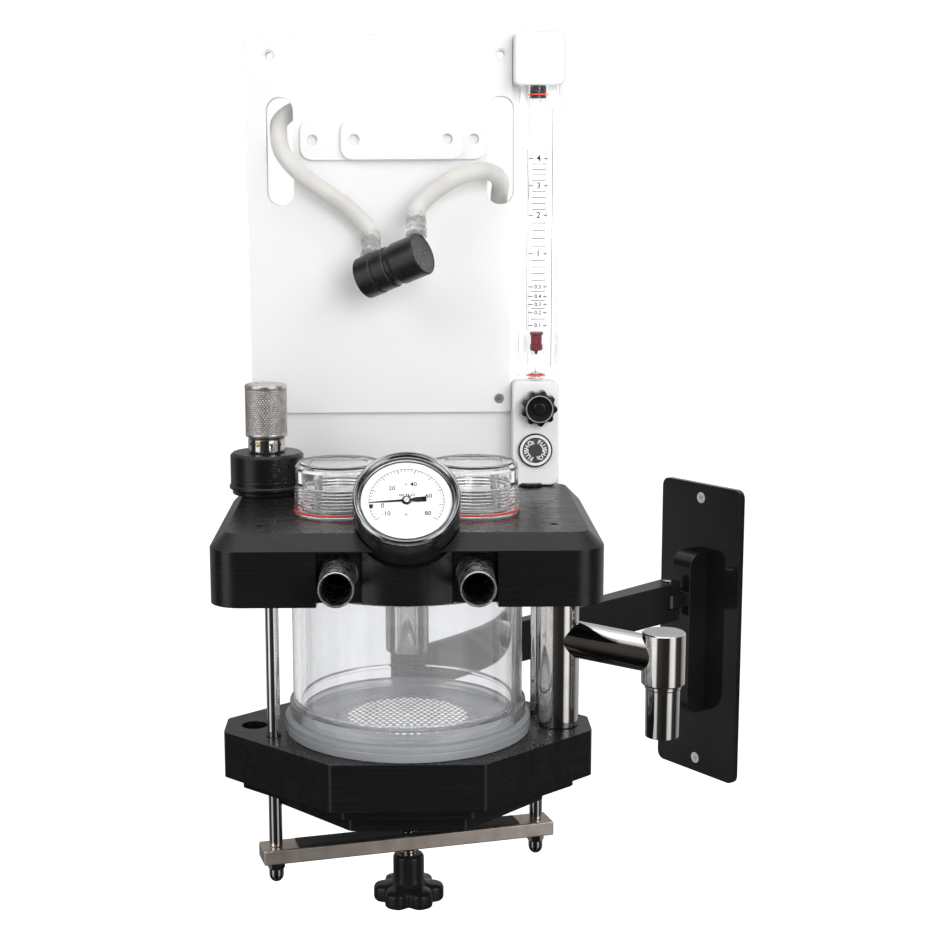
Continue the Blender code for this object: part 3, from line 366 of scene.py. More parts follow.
def clear(name, colour, rough, streak, shadow, haze=0.0, stretch=(1, 1, 1), ior=1.49, uneven=0.5):
    """Clear plastic. Lamps shine through it, as they do through a thin wall."""
    low = tuple(c * 0.95 for c in colour)
    span = (rough * (1.0 - uneven), rough * (1.0 + uneven))
    sockets = {"Transmission Weight": 1.0 - haze, "IOR": ior}
    bumps = [(None, 0.01, streak)]
    finish = surface(name, low, colour, (0.12, 4, stretch), (0.3, 3, stretch), span, bumps, sockets)
    tree = finish.node_tree
    shader = tree.nodes["Principled BSDF"]
    through = node(tree, "BsdfTransparent", {"Color": (shadow, shadow, shadow, 1.0)})
    both = mixed(tree, node(tree, "LightPath").outputs["Is Shadow Ray"], shader, through)
    tree.links.new(both.outputs[0], tree.nodes["Material Output"].inputs["Surface"])
    return finish


def silicone():
    sockets = {"Subsurface Weight": 0.55, "Subsurface Radius": (0.006, 0.0056, 0.005)}
    sockets |= {"Subsurface Scale": 1.0, "Sheen Weight": 0.1}
    low, high = (0.59, 0.58, 0.545), (0.66, 0.65, 0.62)
    bumps = [(None, 0.015, 0.2)]
    return surface("milky_silicone", low, high, (0.06, 3), (1.2, 2), (0.32, 0.46), bumps, sockets)


def make_finishes():
    """Fills FINISHES, slot by slot."""
    coat = {"Coat Weight": 0.4, "Coat Roughness": 0.05}
    orange_peel = [(None, 0.02, 0.25), ((6.0, 2), 0.002, 0.12)]
    # Emission for the screen's bump tops, which glow though they are no lamp: a painted highlight
    lit = {"Emission Color": WHITE, "Emission Strength": 0.22}
    matt = {"Specular IOR Level": 0.08}
    smoky = (0.865, 0.87, 0.88)
    white_low, white_high = (0.825, 0.827, 0.83), (0.85, 0.852, 0.855)
    knurl_low, knurl_high = (0.5, 0.475, 0.455), (0.78, 0.75, 0.72)
    slots = {
        "gloss_black_paint": {
            "paint": surface(
                "gloss_black_paint", 0.006, 0.012, (0.02, 3), (0.25, 2), (0.07, 0.13), orange_peel, coat,
            ),
            "print": plain("print_black", (0.004, 0.004, 0.005), (0.009, 0.009, 0.009), 0.6, matt),
        },
        "black_anodised": {
            "anodised": surface(
                "black_anodised", 0.006, 0.011, (0.03, 4), (1.2, 3, (1, 1, 3)), (0.24, 0.36),
                [(None, 0.01, 0.3)], {"Metallic": 0.1},
            ),
            "satin_black": plain("satin_black", (0.007, 0.007, 0.008), (0.014, 0.014, 0.015), 0.3),
        },
        "black_machined_plastic": {"machined": machined_plastic()},
        "black_moulded_plastic": {
            "moulded": surface(
                "black_moulded_plastic", 0.006, 0.013, (0.08, 3), (1.6, 2), (0.14, 0.26),
                [(None, 0.012, 0.25)], {"Specular IOR Level": 0.28},
            ),
            "button": plain("button_grey", (0.05, 0.05, 0.052), (0.075, 0.075, 0.077), 0.4),
            "rubber": plain("rubber_black", (0.008, 0.008, 0.009), (0.016, 0.016, 0.016), 0.55),
        },
        "white_plastic": {
            "white": surface(
                "white_plastic", white_low, white_high, (0.015, 3), (1.4, 3), (0.38, 0.5),
                [(None, 0.02, 0.2)], {"Specular IOR Level": 0.35},
            ),
            "letter_white": plain("letter_white", (0.8, 0.8, 0.8), (0.86, 0.86, 0.86), 0.45),
        },
        "chrome_plate": {
            "chrome": chrome(),
            "chrome_side": chrome("chrome_side"),
            "satin_chrome": chrome("satin_chrome", 0.22),
        },
        "steel": {
            "steel": steel("steel", (0.05, 0.05, 1.5), 0.24),
            "bright_steel": steel("bright_steel", (0.3, 0.3, 0.3), 0.14),
            "bar_steel": metal("bar_steel", (0.58, 0.50, 0.44), (0.74, 0.66, 0.6), 0.36),
            "satin_steel": metal("satin_steel", (0.66, 0.65, 0.63), (0.78, 0.77, 0.75), 0.5),
            "pale_steel": plain("pale_steel", (0.5, 0.5, 0.49), (0.62, 0.62, 0.61), 0.25),
            # The bezel's steel is darkened all over to stand in for the dark reflection in its inner
            # slope: a painted reflection
            "bezel": metal("bezel_painted_dark_reflection", (0.38, 0.385, 0.39), (0.5, 0.505, 0.51), 0.14),
            "screen": plain("screen_steel", (0.25, 0.253, 0.257), (0.31, 0.313, 0.317), 0.3),
            # Near-white glowing copy of the screen steel for the bump tops, set against the darker screen
            # steel: a painted highlight
            "dot_painted_highlight": plain("painted_highlight_dots", (0.90, 0.90, 0.91), (0.95, 0.95, 0.95), 0.18, lit),
            "knurled": surface(
                "knurled_steel", knurl_low, knurl_high, (0.3, 5), (3.0, 3), (0.3, 0.5),
                [(None, 0.02, 0.35)], {"Metallic": 1.0},
            ),
        },
        "clear_acrylic": {
            "clear": clear("clear_acrylic", (0.98, 0.983, 0.987), 0.012, 0.05, 0.97, ior=1.2),
            "clear_cap": clear("clear_cap", (0.985, 0.985, 0.985), 0.015, 0.05, 0.93),
            "canister": clear("canister_acrylic", smoky, 0.03, 0.35, 0.95, 0.045, (1, 1, 0.02)),
            "frosted": clear("frosted_acrylic", (0.42, 0.435, 0.455), 0.24, 0.0, 0.75, 0.55, uneven=0.08),
            "lens": clear("gauge_lens", (0.99, 0.99, 0.99), 0.004, 0.02, 0.97, ior=1.1),
        },
        "milky_silicone": {
            "silicone": silicone(),
            "hose_sleeve": clear("hose_sleeve", (0.66, 0.69, 0.71), 0.3, 0.1, 0.8),
        },
        "red_plastic": {
            "seal": plain("seal_red", (0.62, 0.03, 0.02), (0.75, 0.06, 0.04), 0.3),
            "float": plain("float_red", (0.06, 0.001, 0.005), (0.11, 0.002, 0.009), 0.18),
        },
        "dial_white": {"dial": plain("dial_white", (0.6, 0.605, 0.61), (0.63, 0.635, 0.64), 0.5)},
        "grey_plastic": {"grey": plain("grey_plastic", (0.16, 0.165, 0.17), (0.24, 0.245, 0.25), 0.35)},
        "brass": {"brass": metal("brass", (0.60, 0.42, 0.17), (0.72, 0.53, 0.24), 0.24)},
    }
    for slot, finishes in slots.items():
        for name, finish in finishes.items():
            FINISHES[name] = (finish, slot)


# ---- mesh helpers

SHARP = 32  # edges keener than this many degrees stay sharp
STRAIGHT = radians(155)  # corners flatter than this are not rounded
TINY = 1e-6


def soft(points, radius=0.4, closed=False, steps=3):
    """The same profile with its sharp corners rounded."""
    out = []
    count = len(points)
    for i, point in enumerate(points):
        here = Vector(point)
        if not closed and i in (0, count - 1):
            out.append(tuple(here))
            continue
        before = Vector(points[i - 1]) - here
        after = Vector(points[(i + 1) % count]) - here
        angle = before.angle(after, pi)
        if min(before.length, after.length) < TINY or angle > STRAIGHT:
            out.append(tuple(here))
            continue
        reach = min(radius / tan(angle / 2), before.length * 0.45, after.length * 0.45)
        first = here + before.normalized() * reach
        last = here + after.normalized() * reach
        for step in range(steps + 1):
            t = step / steps
            out.append(tuple(first.lerp(here, t).lerp(here.lerp(last, t), t)))
    return out


def skin(bm, a, b):
    """Joins two rings with faces. Either ring may be a single point."""
    count = max(len(a), len(b))
    for i in range(count if count > 1 else 0):
        j = (i + 1) % count
        if len(a) == 1:
            bm.faces.new((a[0], b[i], b[j]))
        elif len(b) == 1:
            bm.faces.new((a[i], b[0], a[j]))
        else:
            bm.faces.new((a[i], b[i], b[j], a[j]))


def lathe(bm, profile, at=None, segments=64, closed=False, swell=None):
    """Adds a turned solid from a (radius, z) profile. swell(angle, radius, z) may change the radius."""
    at = at or Matrix()
    rings = []
    for radius, z in profile:
        if radius < TINY:
            rings.append([bm.verts.new(at @ Vector((0, 0, z)))])
            continue
        ring = []
        for i in range(segments):
            angle = tau * i / segments
            r = swell(angle, radius, z) if swell else radius
            ring.append(bm.verts.new(at @ Vector((r * cos(angle), r * sin(angle), z))))
        rings.append(ring)
    pairs = list(zip(rings, rings[1:]))
    if closed:
        pairs.append((rings[-1], rings[0]))
    for a, b in pairs:
        skin(bm, a, b)
    return bm


def turned(profile, at=None, segments=64, closed=False, swell=None, radius=0.4):
    return lathe(bmesh.new(), soft(profile, radius, closed), at, segments, closed, swell)


def block(bm, low, high, at=None):
    """Adds a box between two corners."""
    made = bmesh.ops.create_cube(bm, size=1)["verts"]
    low, high = Vector(low), Vector(high)
    place = (at or Matrix()) @ Matrix.Translation((low + high) / 2) @ Matrix.Diagonal((*(high - low), 1))
    bmesh.ops.transform(bm, matrix=place, verts=made)
    return bm


def prism(bm, outline, low, high, at=None):
    """Adds an upright solid on an (x, y) outline."""
    at = at or Matrix()
    base = [bm.verts.new(at @ Vector((x, y, low))) for x, y in outline]
    top = [bm.verts.new(at @ Vector((x, y, high))) for x, y in outline]
    bm.faces.new(list(reversed(base)))
    bm.faces.new(top)
    for i, a in enumerate(base):
        j = (i + 1) % len(base)
        bm.faces.new((a, base[j], top[j], top[i]))
    return bm


def bead(radius, z, across, along):
    """The round profile of a ring."""
    turns = (tau * i / 16 for i in range(16))
    return [(radius + across * cos(a), z + along * sin(a)) for a in turns]


def hexagon(radius):
    turns = (radians(60 * i) for i in range(6))
    return [(radius * cos(a), radius * sin(a)) for a in turns]


def outward(name, bm):
    """A mesh from a bmesh, with every face turned outwards."""
    bmesh.ops.recalc_face_normals(bm, faces=bm.faces)
    return meshed(name, bm)


def evaluated(made):
    """The mesh that an object's modifiers or curve settings give."""
    bpy.context.view_layer.update()
    graph = bpy.context.evaluated_depsgraph_get()
    return bpy.data.meshes.new_from_object(made.evaluated_get(graph))


def carve(bm, tool, operation="DIFFERENCE"):
    """A boolean of two bmeshes, as a new bmesh."""
    target, cutter = put("carved", outward("carved", bm)), put("tool", outward("tool", tool))
    having(target.modifiers.new("cut", "BOOLEAN"), operation=operation, object=cutter, solver="EXACT")
    result = evaluated(target)
    out = bmesh.new()
    out.from_mesh(result)
    for made in (target, cutter):
        data = made.data
        bpy.data.objects.remove(made, do_unlink=True)
        bpy.data.meshes.remove(data)
    bpy.data.meshes.remove(result)
    return out


def piece(
    name, bm, finish, part=None, body="machine", at=MACHINE, edge=0, sharp=SHARP, segments=3
):
    """A finished piece from a bmesh in millimetres, on its body, in the place of a CAD part."""
    bmesh.ops.transform(bm, matrix=at, verts=bm.verts)
    mesh = outward(name, bm)
    mesh.shade_smooth()
    mesh.set_sharp_from_angle(angle=radians(sharp))
    material, usual_slot = FINISHES[finish]
    mesh.materials.append(material)
    made = put(name, mesh)
    if edge:
        having(
            made.modifiers.new("worn edges", "BEVEL"), width=edge * MM, segments=segments,
            limit_method="ANGLE", angle_limit=radians(SHARP), harden_normals=True,
        )
    having(made.modifiers.new("even normals", "WEIGHTED_NORMAL"), keep_sharp=True)
    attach(made, body)
    if part:
        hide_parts(part)
    return made


def refined(part, finish, edge):
    """A CAD part's shape with welded flat faces and rounded edges."""
    source = frame["nodes"][part]
    bm = bmesh.new()
    bm.from_mesh(source.data)
    bmesh.ops.remove_doubles(bm, verts=bm.verts, dist=2e-6)
    bmesh.ops.dissolve_limit(
        bm, angle_limit=radians(0.6), verts=bm.verts, edges=bm.edges, use_dissolve_boundaries=False
    )
    clean = bmesh.new()
    copies = {v: clean.verts.new(v.co) for v in bm.verts}
    for face in bm.faces:
        clean.faces.new([copies[v] for v in face.verts])
    bm.free()
    piece(f"{part}_finished", clean, finish, part, body_of(source)[0], at=Matrix(), edge=edge)


def lettering(bm, text, size, at, thick=0.04, weight=0):
    """Adds flat numbers, centred, facing +Z of the matrix."""
    curve = having(
        bpy.data.curves.new("letters", "FONT"), body=text, size=size, align_x="CENTER", align_y="CENTER",
        extrude=thick / 2, offset=weight, resolution_u=3,
    )
    guide = put("letters", curve)
    mesh = evaluated(guide)
    mesh.transform(at)
    bm.from_mesh(mesh)
    bpy.data.objects.remove(guide, do_unlink=True)
    bpy.data.curves.remove(curve)
    bpy.data.meshes.remove(mesh)
    bmesh.ops.remove_doubles(bm, verts=bm.verts, dist=1e-5)
    return bm


def smooth_route(points, spacing):
    """Evenly spaced points on a Catmull-Rom curve through the route's points."""
    route = [Vector(p) for p in points]
    ends = [2 * route[0] - route[1], *route, 2 * route[-1] - route[-2]]
    fine = []
    for a, b, c, d in zip(ends, ends[1:], ends[2:], ends[3:]):
        for step in range(20):
            t = step / 20
            square = (2 * a - 5 * b + 4 * c - d) * t**2
            cube = (3 * b - a - 3 * c + d) * t**3
            fine.append(0.5 * (2 * b + (c - a) * t + square + cube))
    fine.append(route[-1])
    run = [0]
    for before, after in zip(fine, fine[1:]):
        run.append(run[-1] + (after - before).length)
    count = round(run[-1] / spacing)
    even = []
    at = 0
    for i in range(count + 1):
        wanted = run[-1] * i / count
        while at < len(run) - 2 and run[at + 1] < wanted:
            at += 1
        share = (wanted - run[at]) / (run[at + 1] - run[at])
        even.append(fine[at].lerp(fine[at + 1], share))
    return even


# ---- hoses and connector

HOSE_RADIUS = 6
CONNECTOR_CENTRE = Vector((-8.1, 66, 302.1))
CONNECTOR_AXIS = Vector((0.816, -0.454, 0.358)).normalized()
CONNECTOR_RADIUS = 14.5
CONNECTOR_HALF = 24.7
STUB_ALONG = 19
STUB_UP = Vector((0, CONNECTOR_AXIS.z, -CONNECTOR_AXIS.y)).normalized()
HOSE_END = CONNECTOR_RADIUS + 14 + 4 * GAP


def hose_routes():
    outlet = Vector((72.7, 133.8, 431))
    inlet = Vector((67, 133.8, 140.3))
    lift = STUB_UP * HOSE_END
    ends = {side: CONNECTOR_CENTRE + CONNECTOR_AXIS * side * STUB_ALONG + lift for side in (-1, 1)}
    left = [
        outlet, outlet + Vector((-10, 0, 0)), (30, 142, 431), (-20, 149, 425), (-52, 151, 417),
        (-76, 145, 410), (-87, 131, 402), (-88, 117, 393), (-84.5, 102.5, 379), (-72, 94, 364.5),
        (-57, 92.5, 353.5), (-43, 95.5, 344), (-31, 98.5, 333), ends[-1] + STUB_UP * 7, ends[-1],
    ]
    right = [
        inlet, inlet + Vector((0, 0, 10)), (67, 136, 180), (67, 144, 235), (67, 150, 290),
        (67, 148, 323), (67, 138.5, 342.5), (67, 125.3, 352), (66.8, 112, 357), (62.5, 97.5, 363),
        (50, 88, 365.5), (32, 83, 359.5), (15, 82.5, 347.5), ends[1] + STUB_UP * 7, ends[1],
    ]
    return {"hose_left": left, "hose_right": right}


def make_hoses():
    for part, route in hose_routes().items():
        points = [MACHINE @ p for p in smooth_route(route, 5)]
        curve = having(
            bpy.data.curves.new(f"{part}_tube", "CURVE"), dimensions="3D", bevel_depth=HOSE_RADIUS * MM,
            bevel_resolution=10, use_fill_caps=True,
        )
        spline = curve.splines.new("POLY")
        spline.points.add(len(points) - 1)
        for point, here in zip(spline.points, points):
            point.co = (*here, 1)
        spline.use_smooth = True
        curve.materials.append(FINISHES["silicone"][0])
        made = put(f"{part}_tube", curve)
        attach(made, "machine")
        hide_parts(part)


def make_connector():
    half, radius = CONNECTOR_HALF, CONNECTOR_RADIUS
    for part, side in (("connector_socket", -1), ("connector_plug", 1)):
        if side < 0:
            barrel = [
                (0, half), (radius - 2.2, half), (radius, half - 0.9), (radius, 12.2),
                (radius - 0.9, 11.6), (radius - 0.9, 10.4), (radius - 0.2, 9.8), (radius - 0.2, 1.3),
                (radius - 1.1, 0.5), (radius - 1.1, GAP / 2), (0, GAP / 2),
            ]
        else:
            barrel = [
                (0, half - 0.5), (radius - 1.6, half - 0.5), (radius - 1.1, half),
                (radius, half - 0.7), (radius, 5.2), (radius - 0.8, 4.6), (radius - 1.2, 3.2),
                (radius - 1.1, GAP / 2), (0, GAP / 2),
            ]
        bm = turned(barrel, facing(CONNECTOR_AXIS * side), 96, radius=0.35)
        root = facing(STUB_UP)
        stub = [(0, 16), (4.9, 16), (4.9, 10), (0, 10)]
        reach = Matrix.Translation(CONNECTOR_AXIS * side * STUB_ALONG) @ root
        lathe(bm, soft(stub), reach, 48)
        at = MACHINE @ Matrix.Translation(CONNECTOR_CENTRE)
        piece(f"{part}_body", bm, "satin_black", part, at=at)
        barb = [
            (0, 35), (6.25, 35), (6.6, 34.2), (7.1, 30.6), (7.1, 26.6), (6.5, 25.6), (6.4, 24.9),
            (6.9, 23.9), (7.7, 19.4), (7.6, 17.2), (7, 16.2), (5.2, 15.2), (0, 15.2),
        ]
        sleeve = lathe(bmesh.new(), soft(barb, 0.5), reach, 64)
        piece(f"{part}_sleeve", sleeve, "hose_sleeve", at=at)


def make_elbows():
    for part, at, barb in (
        ("gas_outlet_elbow", Vector((91, 125.3, 431)), Vector((-1, 0, 0))),
        ("fresh_gas_elbow", Vector((67, 125.3, 122)), Vector((0, 0, 1))),
    ):
        base = [(0, 14.5), (5.5, 14.5), (6.5, 13.5), (6.5, 4), (9, 4), (9, GAP), (0, GAP)]
        bm = turned(base, Matrix.Translation(at) @ facing((0, 1, 0)), 48)
        neck = [
            (0, 18), (3.2, 18), (4.1, 15.6), (3.3, 15.4), (4.1, 13), (3.3, 12.8), (4, 11), (4, 2),
            (0, 2),
        ]
        lathe(bm, soft(neck, 0.2), Matrix.Translation(at + Vector((0, 8.5, 0))) @ facing(barb), 48)
        piece(f"{part}_brass", bm, "brass", part)


# ---- wall mount and swing arm

WALL_SCREW_Z = 115


def phillips_head(at):
    """A countersunk screw with a cross recess, facing +Z."""
    flat, radius = 4.9, 5
    head = [(0, flat), (radius - 0.5, flat), (radius, flat - 0.35), (2.3, 1.7), (2.3, 0.5), (0, 0.5)]
    bm = turned(head, None, 48, radius=0.25)
    tool = bmesh.new()
    for turn in (0, 90):
        spin = turn_z(turn + 20)
        wing = [(-2.7, -0.55), (2.7, -0.55), (2.7, 0.55), (-2.7, 0.55)]
        part = prism(bmesh.new(), wing, flat - 1.7, flat + 1, spin)
        tool = part if turn == 0 else carve(tool, part, "UNION")
    bm = carve(bm, tool)
    bmesh.ops.transform(bm, matrix=at, verts=bm.verts)
    return bm


def make_wall_mount():
    refined("wall_plate", "paint", 0.7)
    refined("wall_bracket", "paint", 1.2)
    for part, z in (("wall_screw_top", WALL_SCREW_Z), ("wall_screw_bottom", -WALL_SCREW_Z)):
        bm = phillips_head(shift(0, 0, z) @ FORWARD)
        piece(f"{part}_head", bm, "pale_steel", part, body="wall_mount", at=WALL)


def make_swing_arm():
    refined("swing_arm", "anodised", 0.9)
    cap = 16 + GAP
    pin = [(0, cap + 1.5), (3.2, cap + 1.5), (4.4, cap + 0.8), (4.4, cap), (3, cap)]
    pin += [(radius, -z) for radius, z in reversed(pin)]
    piece(
        "wall_pivot_pin_turned", turned(pin, None, 48, radius=0.3), "steel", "wall_pivot_pin",
        body="arm", at=ARM,
    )
    top, low = 85, -16
    shaft = [
        (0, top), (7, top), (8, top - 1), (8, low - GAP), (11, low - GAP), (11, low - 3.5),
        (10, low - 4.5), (5.2, low - 4.5), (4.6, low - 3.2), (0, low - 3.2),
    ]
    bm = turned(shaft, shift(0, -ARM_LENGTH, 0), 64, radius=0.4)
    piece("machine_pivot_shaft_turned", bm, "chrome", "machine_pivot_shaft", body="arm", at=ARM)
    sleeve = [(16.5, HEAD_LOW), (16.5, 25.6), (8.3, 25.3), (8.3, HEAD_LOW)]
    bm = turned(sleeve, shift(0, 100, 0), 96, True, radius=0.8)
    piece("pivot_sleeve_turned", bm, "chrome", "pivot_sleeve")


# ---- head, ports, valves

PORT_X, PORT_Z, PORT_BASE_Y, PORT_TIP_Y = 42.5, 119.2, -67, -114.5
HEAD_LOW, HEAD_TOP = 99.7, 145
DOME_X, DOME_TOP = 44, 179


def make_head():
    refined("head_block", "machined", 0.6)
    bm = bmesh.new()
    for side in (-1, 1):
        at = shift(side * 93, -45, 0)
        plug = [(0, 140), (1.1, 140), (1.1, 142.6), (2.1, 142.6), (2.4, 142.2), (2.4, 134), (0, 134)]
        lathe(bm, soft(plug, 0.15), at, 36)
    piece("head_set_screws", bm, "paint")
    cap = [(0, 147.4), (6.8, 147.4), (7.8, 146.6), (7.8, HEAD_TOP + 0.1), (0, HEAD_TOP + 0.1)]
    bm = turned(cap, shift(88.5, 96.4, 0), 64, radius=0.5)
    piece("head_port_plug", bm, "moulded")

    length = PORT_BASE_Y - GAP - PORT_TIP_Y
    for part, side in (("breathing_port_left", -1), ("breathing_port_right", 1)):
        outer = [
            (10.5, length), (10.95, length - 0.5), (11.2, 7), (11.6, 5.6), (12.2, 5), (12.5, 4.3),
            (12.5, 0),
        ]
        inner = [(9.4, 0), (9.4, length - 1.2), (10.1, length)]
        at = shift(side * PORT_X, PORT_BASE_Y - GAP, PORT_Z) @ FORWARD
        bm = turned(outer + inner, at, 96, True, radius=0.3)
        piece(f"{part}_tube", bm, "satin_chrome", part)


def make_check_valves():
    for name, side in (("left", -1), ("right", 1)):
        centre = shift(side * DOME_X, 0, 0)
        base = HEAD_TOP + GAP
        outer = [
            (0, DOME_TOP - 0.5), (18, DOME_TOP - 0.5), (19, DOME_TOP), (26.4, DOME_TOP),
            (28.9, DOME_TOP - 2.8), (29.1, 164.2), (28.6, 163.6),
        ]
        for turn in range(6):
            z = 162.6 - 2.1 * turn
            outer += [(28.6, z + 0.35), (29.5, z - 0.3), (29.5, z - 0.9), (28.6, z - 1.45)]
        outer += [(28.9, 149.2), (30, 148.9), (30, 148.3), (28.7, 148.1), (28.7, 146.5)]
        outer += [(30.1, 146.3), (30.1, base)]
        inner = [(26, base), (26, 164), (25, 166), (25, 173.4), (23.2, 175.2), (0, 175.2)]
        bm = turned(outer + inner, centre, 96, radius=0.3)
        piece(f"dome_{name}_clear", bm, "clear_cap", f"dome_{name}")
        bm = lathe(bmesh.new(), bead(29.25, 147.3, 0.85, 0.75), centre, 96, True)
        piece(f"dome_{name}_seal", bm, "seal")

        seat = [
            (23, 149), (24, 148), (24, 127.3), (10, 127.3), (10, 150.5), (12, 150.5), (13, 145),
            (20, 145), (21, 149),
        ]
        bm = turned(seat, centre, 96, True, radius=0.35)
        for post in range(4):
            angle = radians(45 + 90 * post)
            spot = centre @ shift(19 * cos(angle), 19 * sin(angle), 0)
            shape = [(0, 169), (1.9, 169), (1.9, 167.4), (1.35, 166.9), (1.35, 144.5), (0, 144.5)]
            lathe(bm, soft(shape, 0.3), spot, 24)
        piece(f"valve_cage_{name}", bm, "grey", f"valve_seat_{name}")
        disc = [
            (0, 153.2), (1.2, 153.2), (1.7, 152.6), (2, 151.9), (13.2, 151.9), (13.8, 152.2),
            (14.4, 151.9), (14.4, 150.8), (0, 150.8),
        ]
        bm = turned(disc, centre, 64, radius=0.15)
        piece(f"valve_disc_{name}_moulded", bm, "moulded", f"valve_disc_{name}", body=f"{name}_disc")


# ---- gauge

GAUGE = shift(0, -76.9, 169.2) @ Matrix.Rotation(radians(90 - 42.3), 4, "X")
GAUGE_RADIUS, GAUGE_DEPTH = 33.3, 31
DIAL_FACE = -5.8
SCALE_RADIUS = 23
POINTER_ANGLE = 184
ZERO_ANGLE = 187.6
DEGREES_PER_UNIT = 2.79


def dial_angle(value):
    return radians(ZERO_ANGLE - DEGREES_PER_UNIT * value)


def radial_bar(bm, angle, inner, outer, width, low, high):
    spin = Matrix.Rotation(angle, 4, "Z")
    half = width / 2
    prism(bm, [(inner, -half), (outer, -half), (outer, half), (inner, half)], low, high, GAUGE @ spin)


def make_dial_marks():
    bm = bmesh.new()
    low, high = DIAL_FACE + 0.01, DIAL_FACE + 0.05
    for value in range(-10, 81, 2):
        major = value % 10 == 0
        radial_bar(
            bm, dial_angle(value), SCALE_RADIUS - (2.9 if major else 1.8), SCALE_RADIUS,
            0.5 if major else 0.36, low, high,
        )
    scale = (SCALE_RADIUS, SCALE_RADIUS + 0.34, dial_angle(80), dial_angle(-10))
    steps = 60
    for inner, outer, first, last in (scale, (28.2, 29.1, 0, tau)):
        corners = ((inner, low), (outer, low), (outer, high), (inner, high))
        rings = []
        for i in range(steps + 1):
            angle = first + (last - first) * i / steps
            ray = Vector((cos(angle), sin(angle), 0))
            rings.append([bm.verts.new(GAUGE @ (ray * r + Z * z)) for r, z in corners])
        for a, b in zip(rings, rings[1:]):
            for k in range(4):
                j = (k + 1) % 4
                bm.faces.new((a[k], a[j], b[j], b[k]))
        for ring in (rings[0], rings[-1]):
            bm.faces.new(ring)
    radial_bar(bm, dial_angle(-0.6), 21, 23, 2.6, low, high)
    numbers = {
        "-10": (-12.6, -9),
        "0": (-14.7, -3.4),
        "20": (-9, 9.2),
        "40": (4.3, 12),
        "60": (13.6, 3.6),
        "80": (13, -9),
    }
    for text, (x, y) in numbers.items():
        lettering(bm, text, 4.3, GAUGE @ shift(x, y, (low + high) / 2), weight=0.08)
    lettering(bm, "cm H₂O", 2.9, GAUGE @ shift(0.2, 4.4, (low + high) / 2), weight=0.08)
    piece("gauge_dial_marks", bm, "print")


def make_gauge():
    radius = GAUGE_RADIUS
    case = [
        (0, -6.9), (31, -6.9), (31, -4.6), (radius - 0.4, -4.6), (radius, -5.4),
        (radius, 5 - GAUGE_DEPTH), (radius - 1.4, 1.6 - GAUGE_DEPTH), (radius - 4, -GAUGE_DEPTH),
        (0, -GAUGE_DEPTH),
    ]
    piece("gauge_case_moulded", turned(case, GAUGE, 128, radius=0.6), "moulded", "gauge_case")
    bezel = [
        (radius - 1, 0), (radius, -0.9), (radius, -4.3), (30.8, -4.3), (30.8, -3.6), (29.2, -3.2),
        (29.9, -2.3), (31, -1.4), (31.5, -0.3), (31.9, 0),
    ]
    piece("gauge_bezel_turned", turned(bezel, GAUGE, 128, True, radius=0.4), "bezel", "gauge_bezel")
    gasket = [(28.4, -2.9), (29.35, -2.9), (29.35, -3.15), (28.4, -3.15)]
    piece("gauge_gasket", turned(gasket, GAUGE, 128, True), "rubber")
    lens = [(0, -1.6), (29.4, -1.6), (28.6, -2.6), (0, -2.6)]
    piece("gauge_lens_clear", turned(lens, GAUGE, 96, radius=0.2), "lens", "gauge_lens")
    dial = [(0, DIAL_FACE), (29.2, DIAL_FACE), (30.3, -4.9), (30.6, -4.9), (30.6, -6.6), (0, -6.6)]
    piece("gauge_dial_face", turned(dial, GAUGE, 128, radius=0.2), "dial", "gauge_dial")
    make_dial_marks()

    bm = bmesh.new()
    for y in (11.9, -9.9):
        lathe(
            bm, soft([(0, -5.2), (0.75, -5.2), (0.95, -5.4), (0.95, -5.78), (0, -5.78)], 0.1),
            GAUGE @ shift(-0.3, y, 0), 24,
        )
    piece("gauge_dial_screws", bm, "brass")

    spin = GAUGE @ turn_z(POINTER_ANGLE)
    bm = bmesh.new()
    outline = [(22.9, 0.28), (22.9, -0.28), (4, -0.7), (-4, -1), (-5, -1.55), (-12.2, -1.75)]
    outline += [(x, -y) for x, y in reversed(outline)]
    prism(bm, list(reversed(outline)), -4.8, -4.4, spin)
    lathe(bm, soft([(0, -4), (2.7, -4), (2.9, -4.3), (2.9, -5.4), (0, -5.4)], 0.2), spin, 48)
    piece(
        "gauge_pointer_blade", bm, "print", "gauge_pointer", body="pointer",
        edge=0.05, segments=2,
    )
    bm = turned([(0, -3.1), (1.3, -3.1), (1.9, -3.5), (2.1, -4), (0, -4)], spin, 48, radius=0.2)
    piece("gauge_pointer_hub", bm, "bright_steel", body="pointer")


# ---- pop-off valve

KNOB_RADIUS = 14.6
KNURL_COUNT = 46
KNURL_LOW, KNURL_HIGH = 186.8, 218.8
APL_AT = Vector((-97, 75, 0))
APL = Matrix.Translation(APL_AT)


def compass(degrees):
    """The level direction this far round from +X."""
    return Vector((cos(radians(degrees)), sin(radians(degrees)), 0))


def knurl(angle, radius, z):
    """Two crossed sets of fine ridges round the grip."""
    if radius < KNOB_RADIUS - 0.35 or not KNURL_LOW < z < KNURL_HIGH:
        return radius
    fade = min(1, (z - KNURL_LOW) / 0.6, (KNURL_HIGH - z) / 0.6)
    a = cos(KNURL_COUNT * angle + KNURL_COUNT * z / (KNOB_RADIUS * 1.45))
    b = cos(KNURL_COUNT * angle - KNURL_COUNT * z / (KNOB_RADIUS * 1.45))
    return radius - 0.42 * fade * (1 - max(0, 0.5 + 0.5 * a) * max(0, 0.5 + 0.5 * b))


